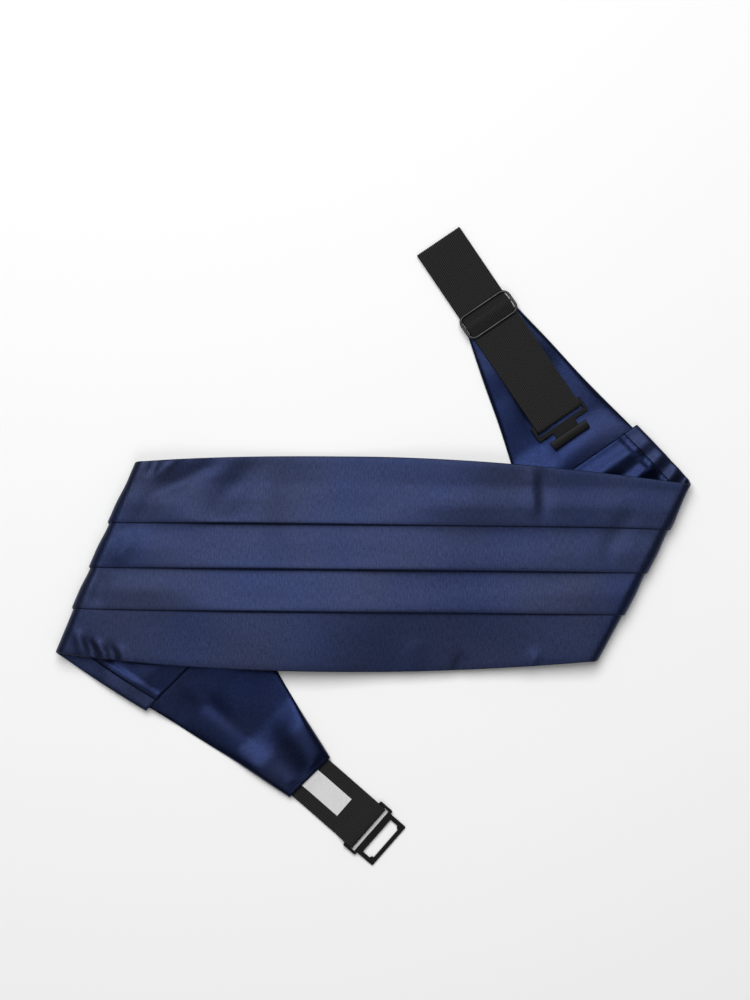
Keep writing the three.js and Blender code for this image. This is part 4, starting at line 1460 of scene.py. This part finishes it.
class CUMMERBUND_OT_fittings(CummerbundStep, bpy.types.Operator):
    """Put the eye, the hook and the slider on the elastic"""

    bl_idname = "cummerbund.fittings"
    bl_label = "Fittings"

    def execute(self, context):
        plan = StrapPlan(Body())
        _, _, (bar_at, bar_up) = plan.left()
        _, (slider_at, slider_up, slope), (hook_at, hook_up) = plan.right()
        plate, end = eye_plate()
        tilt = math.asin((bar_up - plan.bar / 2) / end)
        scaled = plan.matrix("left") @ Matrix.Translation((bar_at, 0, bar_up))
        eye = joined("eye_frame", [(plate, scaled @ Matrix.Rotation(tilt, 4, "Y"))])
        finish_piece(eye, "black_fitting", "eye")

        flat, crossbar = hook_plate()
        upright = Matrix.Rotation(math.pi / 2, 4, "X")
        place = (plan.matrix("right") @ Matrix.Translation((hook_at, 0, hook_up))
                 @ Matrix.Rotation(math.radians(HOOK["dip"]), 4, "Y"))
        hook = joined("hook_plate", [(flat, place), (crossbar, place @ upright)])
        finish_piece(hook, "black_fitting", "hook")

        slider = linked("slider_wire", bpy.data.meshes.new("slider_wire"))
        grown(slider, slider_tree(), {
            "Width": SLIDER["width"] * MM, "Length": SLIDER["length"] * MM,
            "Wire": strap_sizes().wire, "Corner": SLIDER["corner"] * MM,
            "Material": material("dark_wire")})
        spot = (plan.matrix("right") @ Matrix.Translation((slider_at, 0, slider_up))
                @ Matrix.Rotation(-math.atan(slope), 4, "Y"))
        spot.translation *= MM
        slider.data.transform(spot)
        finish_piece(slider, "dark_wire", "slider")
        return {"FINISHED"}


# Lights that point at the middle, in watts and metres, and the rest of the stage
LIGHTS = {"ceiling_light": dict(power=37.5, size=(1.3, 1.4), place=(-0.2, 0.82, 1.8)),
          "side_light": dict(power=6, size=(1.0, 1.0), place=(0.1, -1.0, 1.9))}
SKY_STRENGTH = 0.14
SURFACE_HALF = 3.0
VIEW_HEIGHT = 1.5
SENSOR_HEIGHT, LENS = 24, 61.22


def soft_light(name, power, size, place):
    lamp = bpy.data.lights.new(name, "AREA")
    lamp.energy = power
    lamp.shape = "RECTANGLE"
    lamp.size, lamp.size_y = size
    holder = linked(name, lamp)
    holder.location = place
    holder.rotation_euler = (-Vector(place)).to_track_quat("-Z", "Y").to_euler()


class CUMMERBUND_OT_stage(CummerbundStep, bpy.types.Operator):
    """Lay the pale surface, set soft lights and the view from straight above"""

    bl_idname = "cummerbund.stage"
    bl_label = "Stage"

    def execute(self, context):
        surface = bmesh.new()
        bmesh.ops.create_grid(surface, x_segments=2, y_segments=2, size=SURFACE_HALF)
        mesh = bpy.data.meshes.new("pale_surface")
        surface.to_mesh(mesh)
        surface.free()
        mesh.materials.append(material("pale_surface"))
        linked("pale_surface", mesh)

        for name, light in LIGHTS.items():
            soft_light(name, light["power"], light["size"], light["place"])
        context.scene.view_settings.view_transform = "Standard"
        world = bpy.data.worlds.new("soft_room")
        context.scene.world = world
        world.use_nodes = True
        sky = world.node_tree.nodes["Background"].inputs
        sky["Color"].default_value = (1, 1, 1, 1)
        sky["Strength"].default_value = SKY_STRENGTH

        eye = bpy.data.cameras.new("camera")
        eye.sensor_fit = "VERTICAL"
        eye.sensor_height = SENSOR_HEIGHT
        eye.lens = LENS
        camera = linked("camera", eye)
        camera.location = (VIEW_MIDDLE[0] * MM, VIEW_MIDDLE[1] * MM, VIEW_HEIGHT)
        context.scene.camera = camera
        return {"FINISHED"}


OPERATORS = (CUMMERBUND_OT_shell, CUMMERBUND_OT_lining, CUMMERBUND_OT_wings,
             CUMMERBUND_OT_straps, CUMMERBUND_OT_fittings, CUMMERBUND_OT_stage)


class CUMMERBUND_PT_panel(bpy.types.Panel):
    """Sizes, colours and steps of the cummerbund"""

    bl_idname = "CUMMERBUND_PT_panel"
    bl_label = "Cummerbund"
    bl_space_type = "VIEW_3D"
    bl_region_type = "UI"
    bl_category = "Cummerbund"

    def draw(self, context):
        for group in (cloth_sizes(), strap_sizes(), finishes()):
            box = self.layout.box()
            for name in group.bl_rna.properties.keys():
                if name not in ("rna_type", "name"):
                    box.prop(group, name)
        for operator in OPERATORS:
            self.layout.operator(operator.bl_idname)


GROUPS = {"cummerbund_cloth": CUMMERBUND_PG_cloth, "cummerbund_straps": CUMMERBUND_PG_straps,
          "cummerbund_finish": CUMMERBUND_PG_finish}
CLASSES = (*GROUPS.values(), *OPERATORS, CUMMERBUND_PT_panel)


def register():
    for entry in CLASSES:
        bpy.utils.register_class(entry)
    for name, group in GROUPS.items():
        setattr(bpy.types.Scene, name, bpy.props.PointerProperty(type=group))


def unregister():
    for name in GROUPS:
        delattr(bpy.types.Scene, name)
    for entry in reversed(CLASSES):
        bpy.utils.unregister_class(entry)


def main():
    register()
    for step in ("shell", "lining", "wings", "straps", "fittings", "stage"):
        getattr(bpy.ops.cummerbund, step)()


if __name__ == "__main__":
    main()
